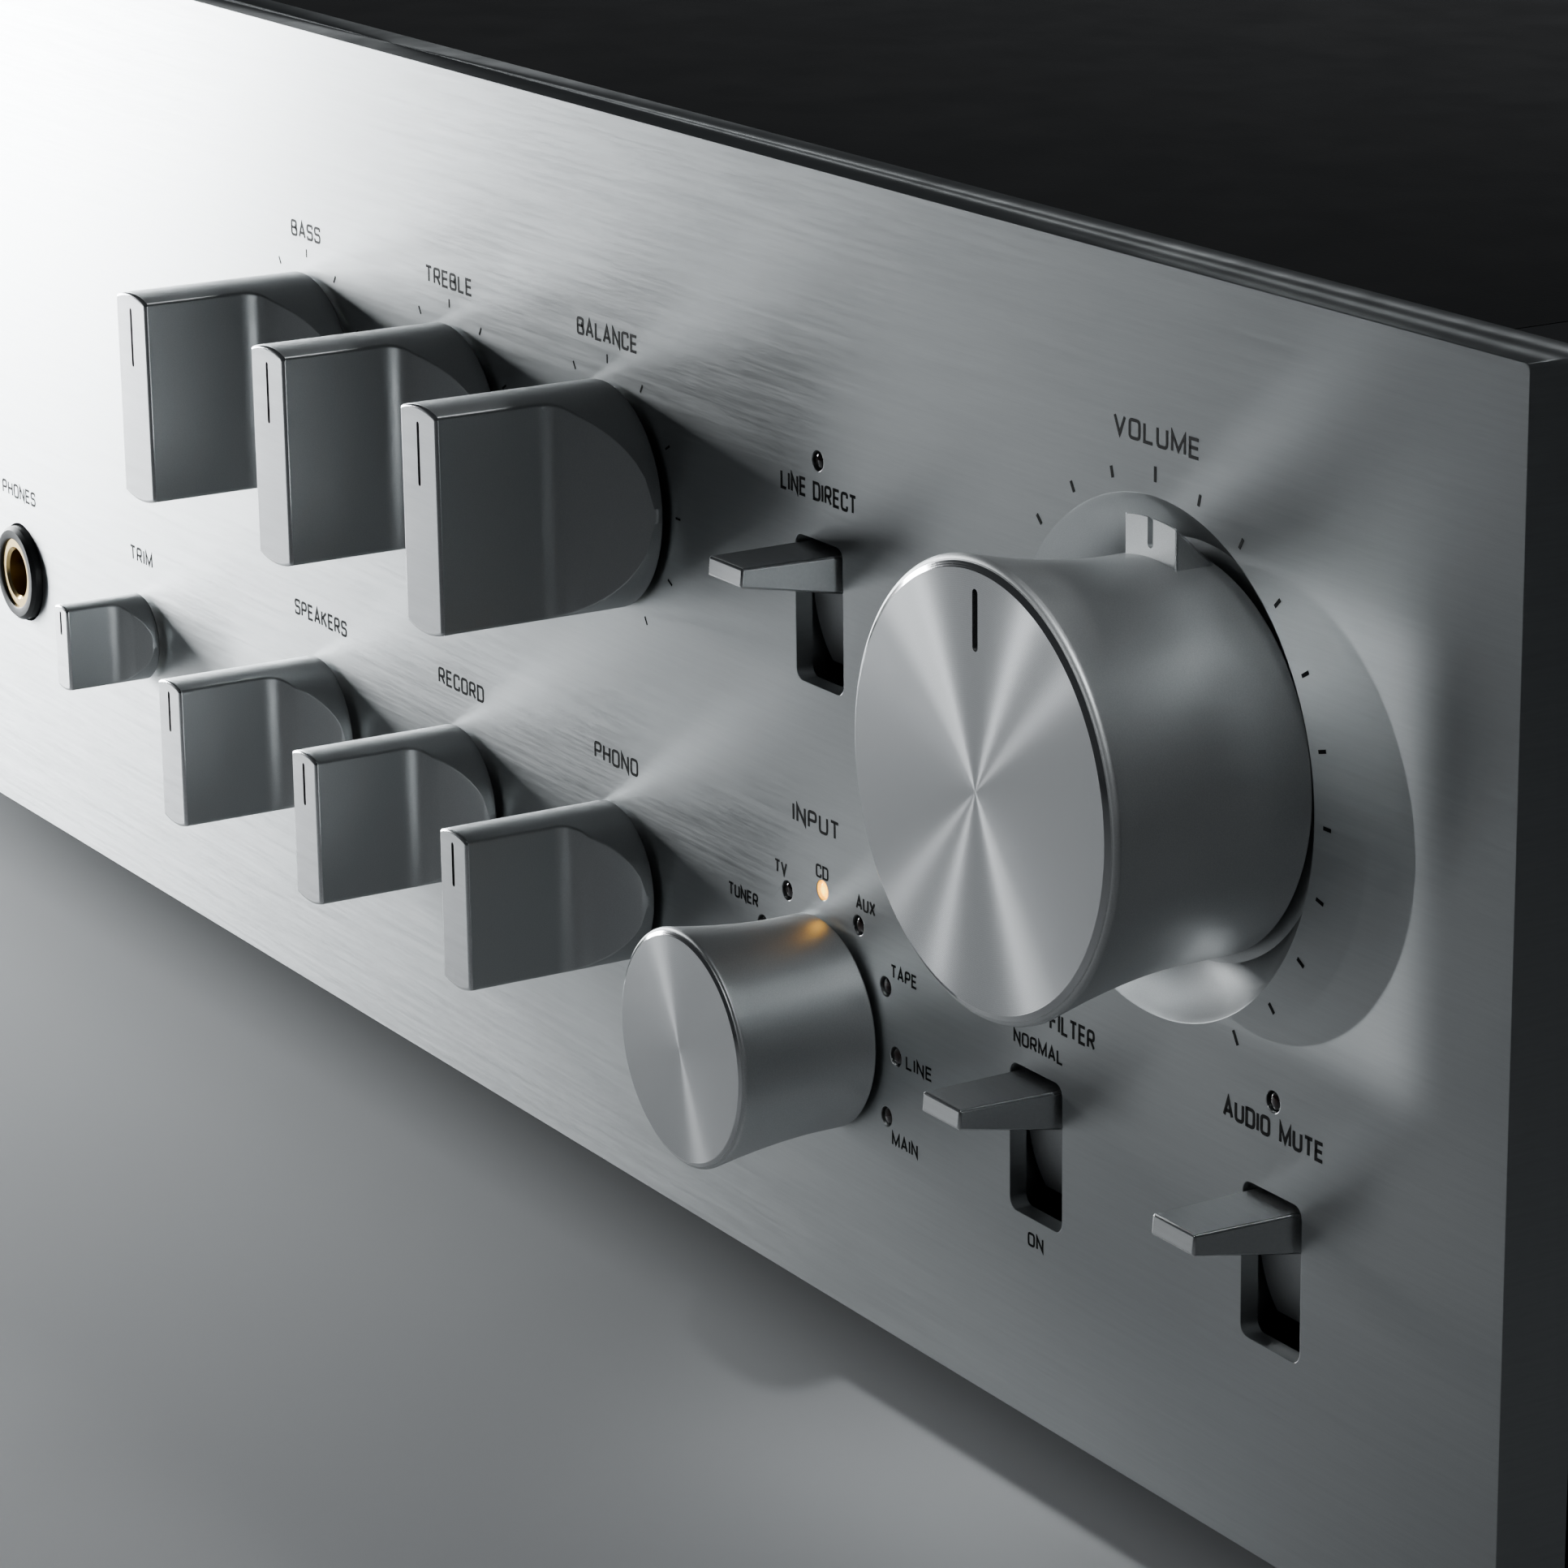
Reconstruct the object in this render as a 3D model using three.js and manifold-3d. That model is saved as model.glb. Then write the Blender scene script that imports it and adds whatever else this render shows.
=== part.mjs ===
// A full-width hi-fi amplifier with a thick machined aluminium front, as an assembly of separate pieces.
// Millimetres. X runs to the right, Y from the front to the back, Z up.
// The origin is the middle of the bounding box's underside, so the feet stand on Z = 0.
import * as THREE from "three";
import { mergeVertices } from "three/addons/utils/BufferGeometryUtils.js";
import Module from "manifold-3d";

const wasm = await Module();
wasm.setup();

// ---- Driving dimensions ----

const WIDTH = 435;
const HEIGHT = 137;
const DEPTH = 438;
const FOOT_HEIGHT = 14;
const GAP = 0.3; // clearance between pieces that touch
const SHEET = 1.5; // steel sheet of the chassis
const WOOD = 13; // side panels
const PANEL_THICKNESS = 8;
const TERMINAL_REACH = 22; // speaker terminals behind the rear panel

const UPPER_GRIP = { radius: 12.8, reach: 23.6, halfGrip: 4.2, filletY: 8.8, rimY: 1.6 };
const LOWER_GRIP = { radius: 9.2, reach: 21, halfGrip: 3.2, filletY: 7.6, rimY: 1.5 };
const TRIM_GRIP = { radius: 5.8, reach: 12, halfGrip: 2.1, filletY: 4.4, rimY: 1.3 };

const DISH = { rim: 25.4, floor: 20.6, depth: 5.2, hollow: 0.7 };
const KNOB_LIFT = 0.5; // grip knobs and the input knob clear the faceplate by this much
const STEM_RADIUS = 3;
const BORE_RADIUS = 3.3;
const KNOB_HOLE_RADIUS = 4.2;
const LAMP_RADIUS = 0.9;
const LAMP_HOLE_RADIUS = 1.2;
const INDICATOR_RADIUS = 14.4; // lamps on a circle round the input knob
const INDICATOR_ANGLES = [-30, 0, 30, 60, 90, 120, 150, 180, 210];

const SLOT = { width: 9.4, height: 15.8, corner: 1.2, skin: 2 };
const LEVER = {
  pivotDepth: 25, // behind the faceplate's front
  pivotDrop: 5.25, // below the slot's top edge
  tilt: 5.5, // degrees above level at rest
  tipReach: 36.5, // from the pivot
  rootHalf: 2.35,
  tipHalf: 1.05,
  rootWidth: 8,
  tipWidth: 6.8,
  shutterRadius: 22.1,
  shutterThickness: 1.2,
  shutterWidth: 12,
  shutterSpan: 32, // degrees each side of the lever
  shutterSink: 0.5, // how far the arm and the bat reach into the shutter
  hub: 4,
  hubWidth: 8,
  armBack: -1, // the arm ends inside the hub
  pin: 1.5,
  pocketWidth: 13.6,
  pocketHeight: 34, // room behind the slot for the shutter's swing
};

// ---- Places on the faceplate ----

const frontY = -DEPTH / 2 + UPPER_GRIP.reach;
const panelBackY = frontY + PANEL_THICKNESS;
const subpanelY = panelBackY + GAP;
const controlsY = subpanelY + SHEET + GAP;
const rearY = DEPTH / 2 - TERMINAL_REACH;
const rearInnerY = rearY - SHEET;
const right = WIDTH / 2;
const wallX = right - WOOD - GAP;
const caseBottom = FOOT_HEIGHT + GAP;
const caseTop = HEIGHT - GAP;

const volume = { x: right - 54.4, z: HEIGHT - 47.7 };
const columns = [-180, -142.5, -105].map((offset) => volume.x + offset);
const upperRowZ = volume.z + 5.2;
const lowerRowZ = volume.z - 39.8;
const input = { x: volume.x - 60.6, z: volume.z - 43.7 };
const trim = { x: volume.x - 234, z: lowerRowZ };
const phones = { x: volume.x - 275, z: lowerRowZ };
const powerX = volume.x - 326;
const leverPlaces = {
  power: { x: powerX, slotTop: volume.z + 8.8 },
  direct: { x: input.x, slotTop: volume.z + 8.8 },
  subsonic: { x: volume.x - 19.9, slotTop: volume.z - 37.6 },
  mute: { x: volume.x + 19.9, slotTop: volume.z - 37.6 },
};
const lamps = {
  power: { x: powerX, z: volume.z + 17.3 },
  direct: { x: input.x, z: volume.z + 17.3 },
  mute: { x: volume.x + 19.9, z: volume.z - 28.5 },
};

const gripPlaces = [
  ...columns.map((x) => ({ x, z: upperRowZ, form: UPPER_GRIP })),
  ...columns.map((x) => ({ x, z: lowerRowZ, form: LOWER_GRIP })),
  { ...trim, form: TRIM_GRIP },
];
const [bass, treble, balance, speakers, record, phono, trimmer] = gripPlaces;

// ---- Materials ----

function finish(color, roughness, metalness) {
  return new THREE.MeshStandardMaterial({ color, roughness, metalness });
}

const finishes = {
  aluminium: () => finish(0xb9bcbe, 0.35, 0.9),
  darkLacquer: () => finish(0x0b0b0c, 0.25, 0.1),
  blackSteel: () => finish(0x1b1c1e, 0.55, 0.6),
  zincSteel: () => finish(0x8d8f90, 0.45, 0.8),
  steel: () => finish(0xa5a7aa, 0.3, 0.95),
  rubber: () => finish(0x151515, 0.9, 0),
  blackPlastic: () => finish(0x121314, 0.6, 0),
  board: () => finish(0x1f4a2c, 0.6, 0),
  capacitor: () => finish(0x1c2230, 0.4, 0),
  heatSink: () => finish(0x2a2c2e, 0.5, 0.7),
  brass: () => finish(0xb08d48, 0.3, 0.95),
  amber: () => finish(0xff9a2a, 0.3, 0),
};

// ---- Solids ----

// A closed manifold solid from a three.js geometry.
function solid(geometry) {
  const bare = geometry.index ? geometry.toNonIndexed() : geometry.clone();
  bare.deleteAttribute("normal");
  bare.deleteAttribute("uv");
  const merged = mergeVertices(bare, 1e-4);
  const mesh = new wasm.Mesh({
    numProp: 3,
    vertProperties: merged.attributes.position.array,
    triVerts: new Uint32Array(merged.index.array),
  });
  return new wasm.Manifold(mesh);
}

function joined(...geometries) {
  return geometries.map(solid).reduce((whole, piece) => whole.add(piece));
}

function cut(body, ...geometries) {
  return geometries.map(solid).reduce((rest, tool) => rest.subtract(tool), body);
}

function geometryOf(manifold) {
  const { vertProperties, triVerts } = manifold.getMesh();
  const geometry = new THREE.BufferGeometry();
  geometry.setAttribute("position", new THREE.BufferAttribute(new Float32Array(vertProperties), 3));
  geometry.setIndex(new THREE.BufferAttribute(new Uint32Array(triVerts), 1));
  return geometry;
}

function piece(name, body, material, x = 0, y = 0, z = 0) {
  const geometry = body instanceof THREE.BufferGeometry ? body : geometryOf(body);
  const mesh = new THREE.Mesh(geometry, material);
  mesh.name = name;
  mesh.position.set(x, y, z);
  return mesh;
}

function block(x0, x1, y0, y1, z0, z1) {
  const geometry = new THREE.BoxGeometry(x1 - x0, y1 - y0, z1 - z0);
  return geometry.translate((x0 + x1) / 2, (y0 + y1) / 2, (z0 + z1) / 2);
}

// A block of the given width and height centred on x and z, from y0 to y1.
function bar(width, height, y0, y1, x = 0, z = 0) {
  return block(x - width / 2, x + width / 2, y0, y1, z - height / 2, z + height / 2);
}

// A round bar along Y.
function rod(radius, y0, y1, x = 0, z = 0, sides = 16) {
  return new THREE.CylinderGeometry(radius, radius, y1 - y0, sides).translate(x, (y0 + y1) / 2, z);
}

// A body of revolution about Y; the profile's points are [radius, y], from low y to high y.
function turned(profile, sides) {
  return new THREE.LatheGeometry(profile.map(([r, y]) => new THREE.Vector2(r, y)), sides);
}

// Points of an arc, each as [a, b], in degrees.
function arc(centreA, centreB, radiusA, radiusB, from, to, steps) {
  return Array.from({ length: steps + 1 }, (_, i) => {
    const angle = THREE.MathUtils.degToRad(from + ((to - from) * i) / steps);
    return [centreA + radiusA * Math.cos(angle), centreB + radiusB * Math.sin(angle)];
  });
}

function outline(points) {
  return new THREE.Shape(points.map(([a, b]) => new THREE.Vector2(a, b)));
}

function rectangle(width, height, x = 0, z = 0) {
  return outline([
    [x - width / 2, z - height / 2],
    [x + width / 2, z - height / 2],
    [x + width / 2, z + height / 2],
    [x - width / 2, z + height / 2],
  ]);
}

function roundedRectangle(width, height, corner, x, z) {
  const a = width / 2 - corner;
  const b = height / 2 - corner;
  return outline([
    ...arc(x + a, z - b, corner, corner, -90, 0, 3),
    ...arc(x + a, z + b, corner, corner, 0, 90, 3),
    ...arc(x - a, z + b, corner, corner, 90, 180, 3),
    ...arc(x - a, z - b, corner, corner, 180, 270, 3),
  ]);
}

function round(radius, x, z, sides = 12) {
  return outline(arc(x, z, radius, radius, 0, 360 - 360 / sides, sides - 1));
}

// A plate in the XZ plane with holes, from y0 to y1.
function plate(edge, holes, y0, y1) {
  edge.holes.push(...holes);
  const flat = new THREE.ExtrudeGeometry(edge, { depth: y1 - y0, bevelEnabled: false });
  const turn = new THREE.Matrix4().makeBasis(
    new THREE.Vector3(1, 0, 0),
    new THREE.Vector3(0, 0, 1),
    new THREE.Vector3(0, -1, 0),
  );
  return flat.applyMatrix4(turn).translate(0, y1, 0);
}

// A side profile of [y, z] points, extruded along X and centred on X = 0.
function slab(points, width) {
  const flat = new THREE.ExtrudeGeometry(outline(points), { depth: width, bevelEnabled: false });
  const turn = new THREE.Matrix4().makeBasis(
    new THREE.Vector3(0, 1, 0),
    new THREE.Vector3(0, 0, 1),
    new THREE.Vector3(1, 0, 0),
  );
  return flat.applyMatrix4(turn).translate(-width / 2, 0, 0);
}

// ---- Faceplate and the steel plate behind it ----

function pivotOf({ x, slotTop }) {
  return { x, y: frontY + LEVER.pivotDepth, z: slotTop - LEVER.pivotDrop };
}

function slotCentre({ slotTop }) {
  return slotTop - SLOT.height / 2;
}

function indicatorPlaces() {
  return INDICATOR_ANGLES.map((degrees) => {
    const angle = THREE.MathUtils.degToRad(degrees);
    return {
      x: input.x + INDICATOR_RADIUS * Math.cos(angle),
      z: input.z + INDICATOR_RADIUS * Math.sin(angle),
    };
  });
}

// The hollow slope round the volume knob, from the faceplate's front down to the dish's floor.
function dishProfile() {
  const { rim, floor, depth, hollow } = DISH;
  const slope = new THREE.QuadraticBezierCurve(
    new THREE.Vector2(rim, 0),
    new THREE.Vector2((rim + floor) / 2 + hollow, depth / 2 + hollow),
    new THREE.Vector2(floor, depth),
  );
  return slope.getPoints(5).map(({ x, y }) => [x, y]);
}

function frontPanel() {
  const middle = (FOOT_HEIGHT + HEIGHT) / 2;
  const levers = Object.values(leverPlaces);
  const stems = [...gripPlaces, input, volume];
  const smallHoles = [...Object.values(lamps), ...indicatorPlaces()];
  const holes = [
    ...stems.map(({ x, z }) => round(KNOB_HOLE_RADIUS, x, z)),
    ...smallHoles.map(({ x, z }) => round(LAMP_HOLE_RADIUS, x, z, 8)),
    ...levers.map((place) =>
      roundedRectangle(SLOT.width, SLOT.height, SLOT.corner, place.x, slotCentre(place)),
    ),
    round(PHONES.bush + GAP, phones.x, phones.z, 20),
  ];
  const blank = plate(rectangle(WIDTH, HEIGHT - FOOT_HEIGHT, 0, middle), holes, frontY, panelBackY);
  const dish = turned([[0, -1], [DISH.rim, -1], ...dishProfile(), [0, DISH.depth]], 48);
  dish.translate(volume.x, frontY, volume.z);
  const pockets = levers.map((place) => {
    const { x, z } = pivotOf(place);
    return bar(LEVER.pocketWidth, LEVER.pocketHeight, frontY + SLOT.skin, panelBackY + 1, x, z);
  });
  return cut(solid(blank), dish, ...pockets);
}

function frontSubpanel() {
  const width = 2 * (wallX - SHEET - GAP);
  const middle = (caseBottom + caseTop) / 2;
  const height = caseTop - caseBottom - 2 * (SHEET + GAP);
  const y0 = subpanelY - 1;
  const y1 = subpanelY + SHEET + 1;
  const holes = [
    ...[...gripPlaces, input, volume].map(({ x, z }) => rod(KNOB_HOLE_RADIUS, y0, y1, x, z, 12)),
    ...[...Object.values(lamps), ...indicatorPlaces()].map(({ x, z }) =>
      rod(LAMP_HOLE_RADIUS + GAP, y0, y1, x, z, 8),
    ),
    ...Object.values(leverPlaces).map((place) => {
      const { x, z } = pivotOf(place);
      return bar(LEVER.pocketWidth, LEVER.pocketHeight, y0, y1, x, z);
    }),
    rod(PHONES.bush + 1, y0, y1, phones.x, phones.z),
  ];
  return cut(solid(bar(width, height, subpanelY, subpanelY + SHEET, 0, middle)), ...holes);
}

// ---- Knobs: each is made about its own axis, with Y = 0 at the faceplate's front ----

const VOLUME_KNOB = {
  reach: 20.1,
  face: 21.8,
  edge: 22.4,
  edgeY: 0.7, // the bevel's depth behind the face
  base: 19.7,
  baseY: 4.3,
  flareY: -2, // the sides widen from here towards the face
  flarePower: 1.7,
  boreY: -8,
};
const LUG = {
  half: 4.2,
  top: 23.7,
  front: -0.5,
  back: 3.9,
  sink: 4, // how far its foot reaches into the knob
  notchHalf: 0.45,
  notchDepth: 0.6,
  notchFoot: 0.9, // above the knob's base radius
};
const INPUT_KNOB = {
  reach: 17.8,
  face: 12.6,
  edge: 12.95,
  edgeY: 0.5,
  base: 11.6,
  baseY: -KNOB_LIFT,
  flareY: -4,
  flarePower: 1.7,
  boreY: -10,
};

// The half profile of a knob whose sides flare out towards its bevelled face.
function flaredProfile({ reach, face, edge, edgeY, base, baseY, flareY, flarePower }, steps) {
  const sides = Array.from({ length: steps }, (_, i) => {
    const rise = 1 - i / steps;
    return [base + (edge - base) * rise ** flarePower, flareY - (reach - edgeY + flareY) * rise];
  });
  return [[0, -reach], [face, -reach], ...sides, [base, flareY], [base, baseY], [0, baseY]];
}

// A wedge on the knob's back rim, with a notch in its front that marks the setting.
function volumeLug() {
  const { half, top, front, back, sink, notchHalf, notchDepth, notchFoot } = LUG;
  const { base } = VOLUME_KNOB;
  const cone = solid(turned([[0, front], [top, front], [base, back], [0, back]], 64));
  const wedge = cone.intersect(solid(block(-half, half, front - 1, back + 1, base - sink, top + 1)));
  return cut(wedge, block(-notchHalf, notchHalf, front - 1, front + notchDepth, base + notchFoot, top + 1));
}

function volumeKnob() {
  const { baseY, boreY } = VOLUME_KNOB;
  const body = solid(turned(flaredProfile(VOLUME_KNOB, 6), 64)).add(volumeLug());
  return cut(body, rod(BORE_RADIUS, boreY, baseY + 1, 0, 0, 20));
}

function inputKnob() {
  const body = turned(flaredProfile(INPUT_KNOB, 4), 40);
  return cut(solid(body), rod(BORE_RADIUS, INPUT_KNOB.boreY, 1, 0, 0, 20));
}

// A steel shaft from inside a knob to inside its control.
function shaft(front, back) {
  return rod(STEM_RADIUS, front, back, 0, 0, 20);
}

// The scoop's fillet runs from start, in front of filletY, to a point out and end behind it.
const FILLET = { start: 2.4, out: 2, end: 0.9 };

// A round knob whose two sides are scooped away to leave an upright grip; its stem reaches into the control.
function gripKnob({ radius, reach, halfGrip, filletY, rimY }) {
  const body = joined(
    rod(radius, -reach, -KNOB_LIFT, 0, 0, 32),
    rod(STEM_RADIUS, -KNOB_LIFT - 1, STEM_BACK, 0, 0, 12),
  );
  const scoop = new THREE.Shape();
  scoop.moveTo(halfGrip, -reach - 1);
  scoop.lineTo(radius + 1, -reach - 1);
  scoop.lineTo(radius + 1, -rimY);
  scoop.lineTo(halfGrip + FILLET.out, -filletY + FILLET.end);
  scoop.quadraticCurveTo(halfGrip, -filletY, halfGrip, -filletY - FILLET.start);
  scoop.closePath();
  const depth = 2 * radius + 2;
  const cutter = new THREE.ExtrudeGeometry(scoop, { depth, bevelEnabled: false, curveSegments: 4 });
  cutter.translate(0, 0, -depth / 2);
  return cut(body, cutter, cutter.clone().rotateY(Math.PI));
}

// ---- Levers: made about the pivot, pointing along -Y and then tilted up ----

function lever() {
  const { tipReach, rootHalf, tipHalf, rootWidth, tipWidth, pin } = LEVER;
  const { shutterRadius, shutterThickness, shutterWidth, shutterSpan, shutterSink } = LEVER;
  const { hub, hubWidth, armBack } = LEVER;
  const inner = shutterRadius - shutterThickness;
  const root = -shutterRadius + shutterSink;
  const spread = 180 - shutterSpan;
  const shutter = slab(
    [
      ...arc(0, 0, shutterRadius, shutterRadius, spread, 180 + shutterSpan, 10),
      ...arc(0, 0, inner, inner, 180 + shutterSpan, spread, 10),
    ],
    shutterWidth,
  );
  const arm = block(-hubWidth / 2, hubWidth / 2, -inner - shutterSink, armBack, -rootHalf, rootHalf);
  const boss = new THREE.CylinderGeometry(hub, hub, hubWidth, 20).rotateZ(Math.PI / 2);
  const bat = new THREE.BoxGeometry(1, 1, 1);
  const corners = bat.attributes.position;
  for (let i = 0; i < corners.count; i += 1) {
    const atTip = corners.getY(i) < 0;
    const halfWidth = (atTip ? tipWidth : rootWidth) / 2;
    const halfHeight = atTip ? tipHalf : rootHalf;
    corners.setXYZ(
      i,
      Math.sign(corners.getX(i)) * halfWidth,
      atTip ? -tipReach : root,
      Math.sign(corners.getZ(i)) * halfHeight,
    );
  }
  const bore = new THREE.CylinderGeometry(pin + GAP, pin + GAP, hubWidth + 2, 20).rotateZ(Math.PI / 2);
  return cut(joined(shutter, arm, boss, bat), bore);
}

const SWITCH = { wall: 2, height: 26, back: 13, sidePlay: 0.7, hollowHeight: 22, hollowBack: 6 };

// A switch housing open to the front, with the pivot pin across it; its own origin is the pivot.
function leverSwitch() {
  const { wall, height, back, sidePlay, hollowHeight, hollowBack } = SWITCH;
  const front = controlsY - frontY - LEVER.pivotDepth;
  const half = LEVER.hubWidth / 2 + sidePlay;
  const shell = bar(2 * (half + wall), height, front, back);
  const hollow = bar(2 * half, hollowHeight, front - 1, hollowBack);
  const pin = new THREE.CylinderGeometry(LEVER.pin, LEVER.pin, 2 * (half + wall / 2), 20);
  return cut(solid(shell), hollow).add(solid(pin.rotateZ(Math.PI / 2)));
}

// ---- Controls behind the subpanel; Y = 0 at the faceplate's front ----

const CONTROL_FRONT = controlsY - frontY;
const CONTROL_DEPTH = 14;
const STEM_BACK = CONTROL_FRONT + 6;
const BORE_BACK = CONTROL_FRONT + 9;
const VOLUME_CONTROL = { size: 32, depth: 22, motorRadius: 11, motorBack: 52, motorRise: 2 };
const SELECTOR = { radius: 13, hub: 6, wafers: [[0, 8], [11, 20]] };

function stemBore() {
  return rod(BORE_RADIUS, CONTROL_FRONT - 1, BORE_BACK, 0, 0, 20);
}

// A square resistor stack with the motor that turns it behind.
function volumeControl() {
  const { size, depth, motorRadius, motorBack, motorRise } = VOLUME_CONTROL;
  const body = joined(
    bar(size, size, CONTROL_FRONT, CONTROL_FRONT + depth),
    rod(motorRadius, CONTROL_FRONT + depth - 1, CONTROL_FRONT + motorBack, 0, motorRise, 24),
  );
  return cut(body, stemBore());
}

// Two wafers on one hub.
function inputSelector() {
  const { radius, hub, wafers } = SELECTOR;
  const discs = wafers.map(([y0, y1]) => rod(radius, CONTROL_FRONT + y0, CONTROL_FRONT + y1, 0, 0, 32));
  const [[, from], [to]] = wafers;
  const middle = rod(hub, CONTROL_FRONT + from - 1, CONTROL_FRONT + to + 1);
  return cut(joined(...discs, middle), stemBore());
}

const BOARD_MARGIN = 2;
const TONE_CONTROL = 13; // room for each control, from its axis
const SELECTOR_CONTROL = 11;

// One upright board that carries a row of round controls at the given places.
function controlBoard(places, size, z) {
  const xs = places.map(({ x }) => x);
  const low = Math.min(...xs) - size;
  const high = Math.max(...xs) + size;
  const reach = size + BOARD_MARGIN;
  const boardY = CONTROL_FRONT + CONTROL_DEPTH;
  const board = block(low, high, boardY - GAP, boardY + SHEET, z - reach, z + reach);
  const bodies = places.map((place) => rod(size - BOARD_MARGIN, CONTROL_FRONT, boardY, place.x, place.z, 20));
  const bores = places.map((place) =>
    rod(BORE_RADIUS, CONTROL_FRONT - 1, STEM_BACK + 1, place.x, place.z, 16),
  );
  return cut(joined(board, ...bodies), ...bores);
}

const PHONES = { bush: 6.6, bore: 3.3, proud: 1.4, boxSize: 16, boxDepth: 26, boreDepth: 22 };

function headphoneJack() {
  const { bush, bore, proud, boxSize, boxDepth, boreDepth } = PHONES;
  const body = joined(
    rod(bush, -proud, CONTROL_FRONT + 1, 0, 0, 20),
    bar(boxSize, boxSize, CONTROL_FRONT, CONTROL_FRONT + boxDepth),
  );
  return cut(body, rod(bore, -proud - 1, CONTROL_FRONT + boreDepth, 0, 0, 20));
}

const LAMP = { front: 0.4, back: 5 };
const INDICATOR_RING = { outer: 17.4, inner: 13.2, front: CONTROL_FRONT + 26 };

function lamp() {
  return rod(LAMP_RADIUS, LAMP.front, LAMP.back, 0, 0, 8);
}

// A slim ring round the selector that carries the lamps on long posts.
function indicatorRing() {
  const { outer, inner, front: ringY } = INDICATOR_RING;
  const ring = plate(round(outer, 0, 0, 32), [round(inner, 0, 0, 24)], ringY, ringY + SHEET);
  const posts = indicatorPlaces().map(({ x, z }) =>
    rod(LAMP_RADIUS, LAMP.front, ringY + GAP, x - input.x, z - input.z, 8),
  );
  return joined(ring, ...posts);
}

// ---- Case ----

const SIDE_PANEL_LIFT = 1; // above the feet
const VENT_WIDTH = 3;
const TOP_VENTS = { from: 62, to: 152, step: 10, front: -40, back: 90 };
const BASE_VENTS = { from: 90, to: 150, step: 12, front: 20, back: 110 };
const FOOT = { x: 165, y: 150, pad: 18, waist: 20, body: 21.5, padY: 2, waistY: 4, bodyY: 4.6 };

// Cutters for a row of slots through a level sheet, on each side of the middle.
function ventSlots({ from, to, step, front: y0, back: y1 }, sheetZ) {
  const slots = [];
  const half = VENT_WIDTH / 2;
  for (let x = from; x <= to; x += step) {
    for (const middle of [-x, x]) {
      slots.push(block(middle - half, middle + half, y0, y1, sheetZ - 1, sheetZ + SHEET + 1));
    }
  }
  return slots;
}

function chassisBase() {
  const y1 = rearInnerY - GAP;
  const floor = block(-wallX, wallX, subpanelY, y1, caseBottom, caseBottom + SHEET);
  const walls = [-wallX, wallX - SHEET].map((x) =>
    block(x, x + SHEET, subpanelY, y1, caseBottom, caseTop - SHEET - GAP),
  );
  return cut(joined(floor, ...walls), ...ventSlots(BASE_VENTS, caseBottom));
}

function topCover() {
  const sheetZ = caseTop - SHEET;
  const sheet = solid(block(-wallX, wallX, subpanelY, rearY, sheetZ, caseTop));
  return cut(sheet, ...ventSlots(TOP_VENTS, sheetZ));
}

function sidePanel(side) {
  const [x0, x1] = side < 0 ? [-right, -right + WOOD] : [right - WOOD, right];
  return block(x0, x1, panelBackY + GAP, rearY, FOOT_HEIGHT + SIDE_PANEL_LIFT, caseTop);
}

function foot() {
  const { pad, waist, body, padY, waistY, bodyY } = FOOT;
  const profile = [[0, 0], [pad, 0], [waist, padY], [waist, waistY], [body, bodyY]];
  return turned([...profile, [body, FOOT_HEIGHT], [0, FOOT_HEIGHT]], 24).rotateX(Math.PI / 2);
}

// ---- Rear ----

const TERMINAL = {
  pitch: 19,
  post: 2,
  postHole: 4,
  postInside: 6,
  collar: 6.2,
  collarDepth: 1.6,
  plateHeight: 24,
  plateDepth: 2,
  plateMargin: 1.9, // beyond the outer posts' share of the row, at each end
  postBack: 1, // short of the caps' ends
  capGap: 1.8, // between a collar and its cap, for a bare wire
  capRadius: 6.6,
  capEnd: 0.6, // the cap's closed end
  ridges: 12,
  ridgeDepth: 0.8,
};
const terminalPlaces = [-1.5, -0.5, 0.5, 1.5].map((step) => step * TERMINAL.pitch);
const SPEAKER_X = { left: 100, right: -100 };
const SPEAKER_Z = 40;
const JACK = { barrel: 4.15, bore: 1.6, boreDepth: 6, reach: 9, boxDepth: 9, pitchX: 14, pitchZ: 16 };
const LINE_JACKS = { x: 90, z: 104, columns: 6 };
const RECORD_JACKS = { x: -30, z: 104, columns: 4 };
const JACK_MARGIN = 2;
const GROUND = { x: -76, z: 104, head: 5, front: 1.2, back: 8, thread: 1.9, inside: 8, hole: 2.5 };
const INLET = {
  x: -176,
  z: 70,
  width: 27,
  height: 20,
  flange: 2,
  lip: 3, // the flange's overlap round the opening
  wall: 1.5,
  inside: 22,
  socketDepth: 16,
};

function rearPanel() {
  const width = 2 * wallX;
  const height = caseTop - caseBottom - SHEET - GAP;
  const middle = (caseBottom + caseTop - SHEET - GAP) / 2;
  const barrels = [LINE_JACKS, RECORD_JACKS].flatMap(jackPlaces);
  const posts = Object.values(SPEAKER_X).flatMap((centre) =>
    terminalPlaces.map((offset) => ({ x: centre + offset, z: SPEAKER_Z })),
  );
  const holes = [
    ...barrels.map(({ x, z }) => round(JACK.barrel + 2 * GAP, x, z)),
    ...posts.map(({ x, z }) => round(TERMINAL.postHole, x, z)),
    round(GROUND.hole, GROUND.x, GROUND.z),
    rectangle(INLET.width - INLET.wall, INLET.height - INLET.wall, INLET.x, INLET.z),
  ];
  return solid(plate(rectangle(width, height, 0, middle), holes, rearInnerY, rearY));
}

function jackPlaces({ x, z, columns: count }) {
  const places = [];
  for (let column = 0; column < count; column += 1) {
    for (const row of [-0.5, 0.5]) {
      places.push({ x: x + (column - (count - 1) / 2) * JACK.pitchX, z: z + row * JACK.pitchZ });
    }
  }
  return places;
}

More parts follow.
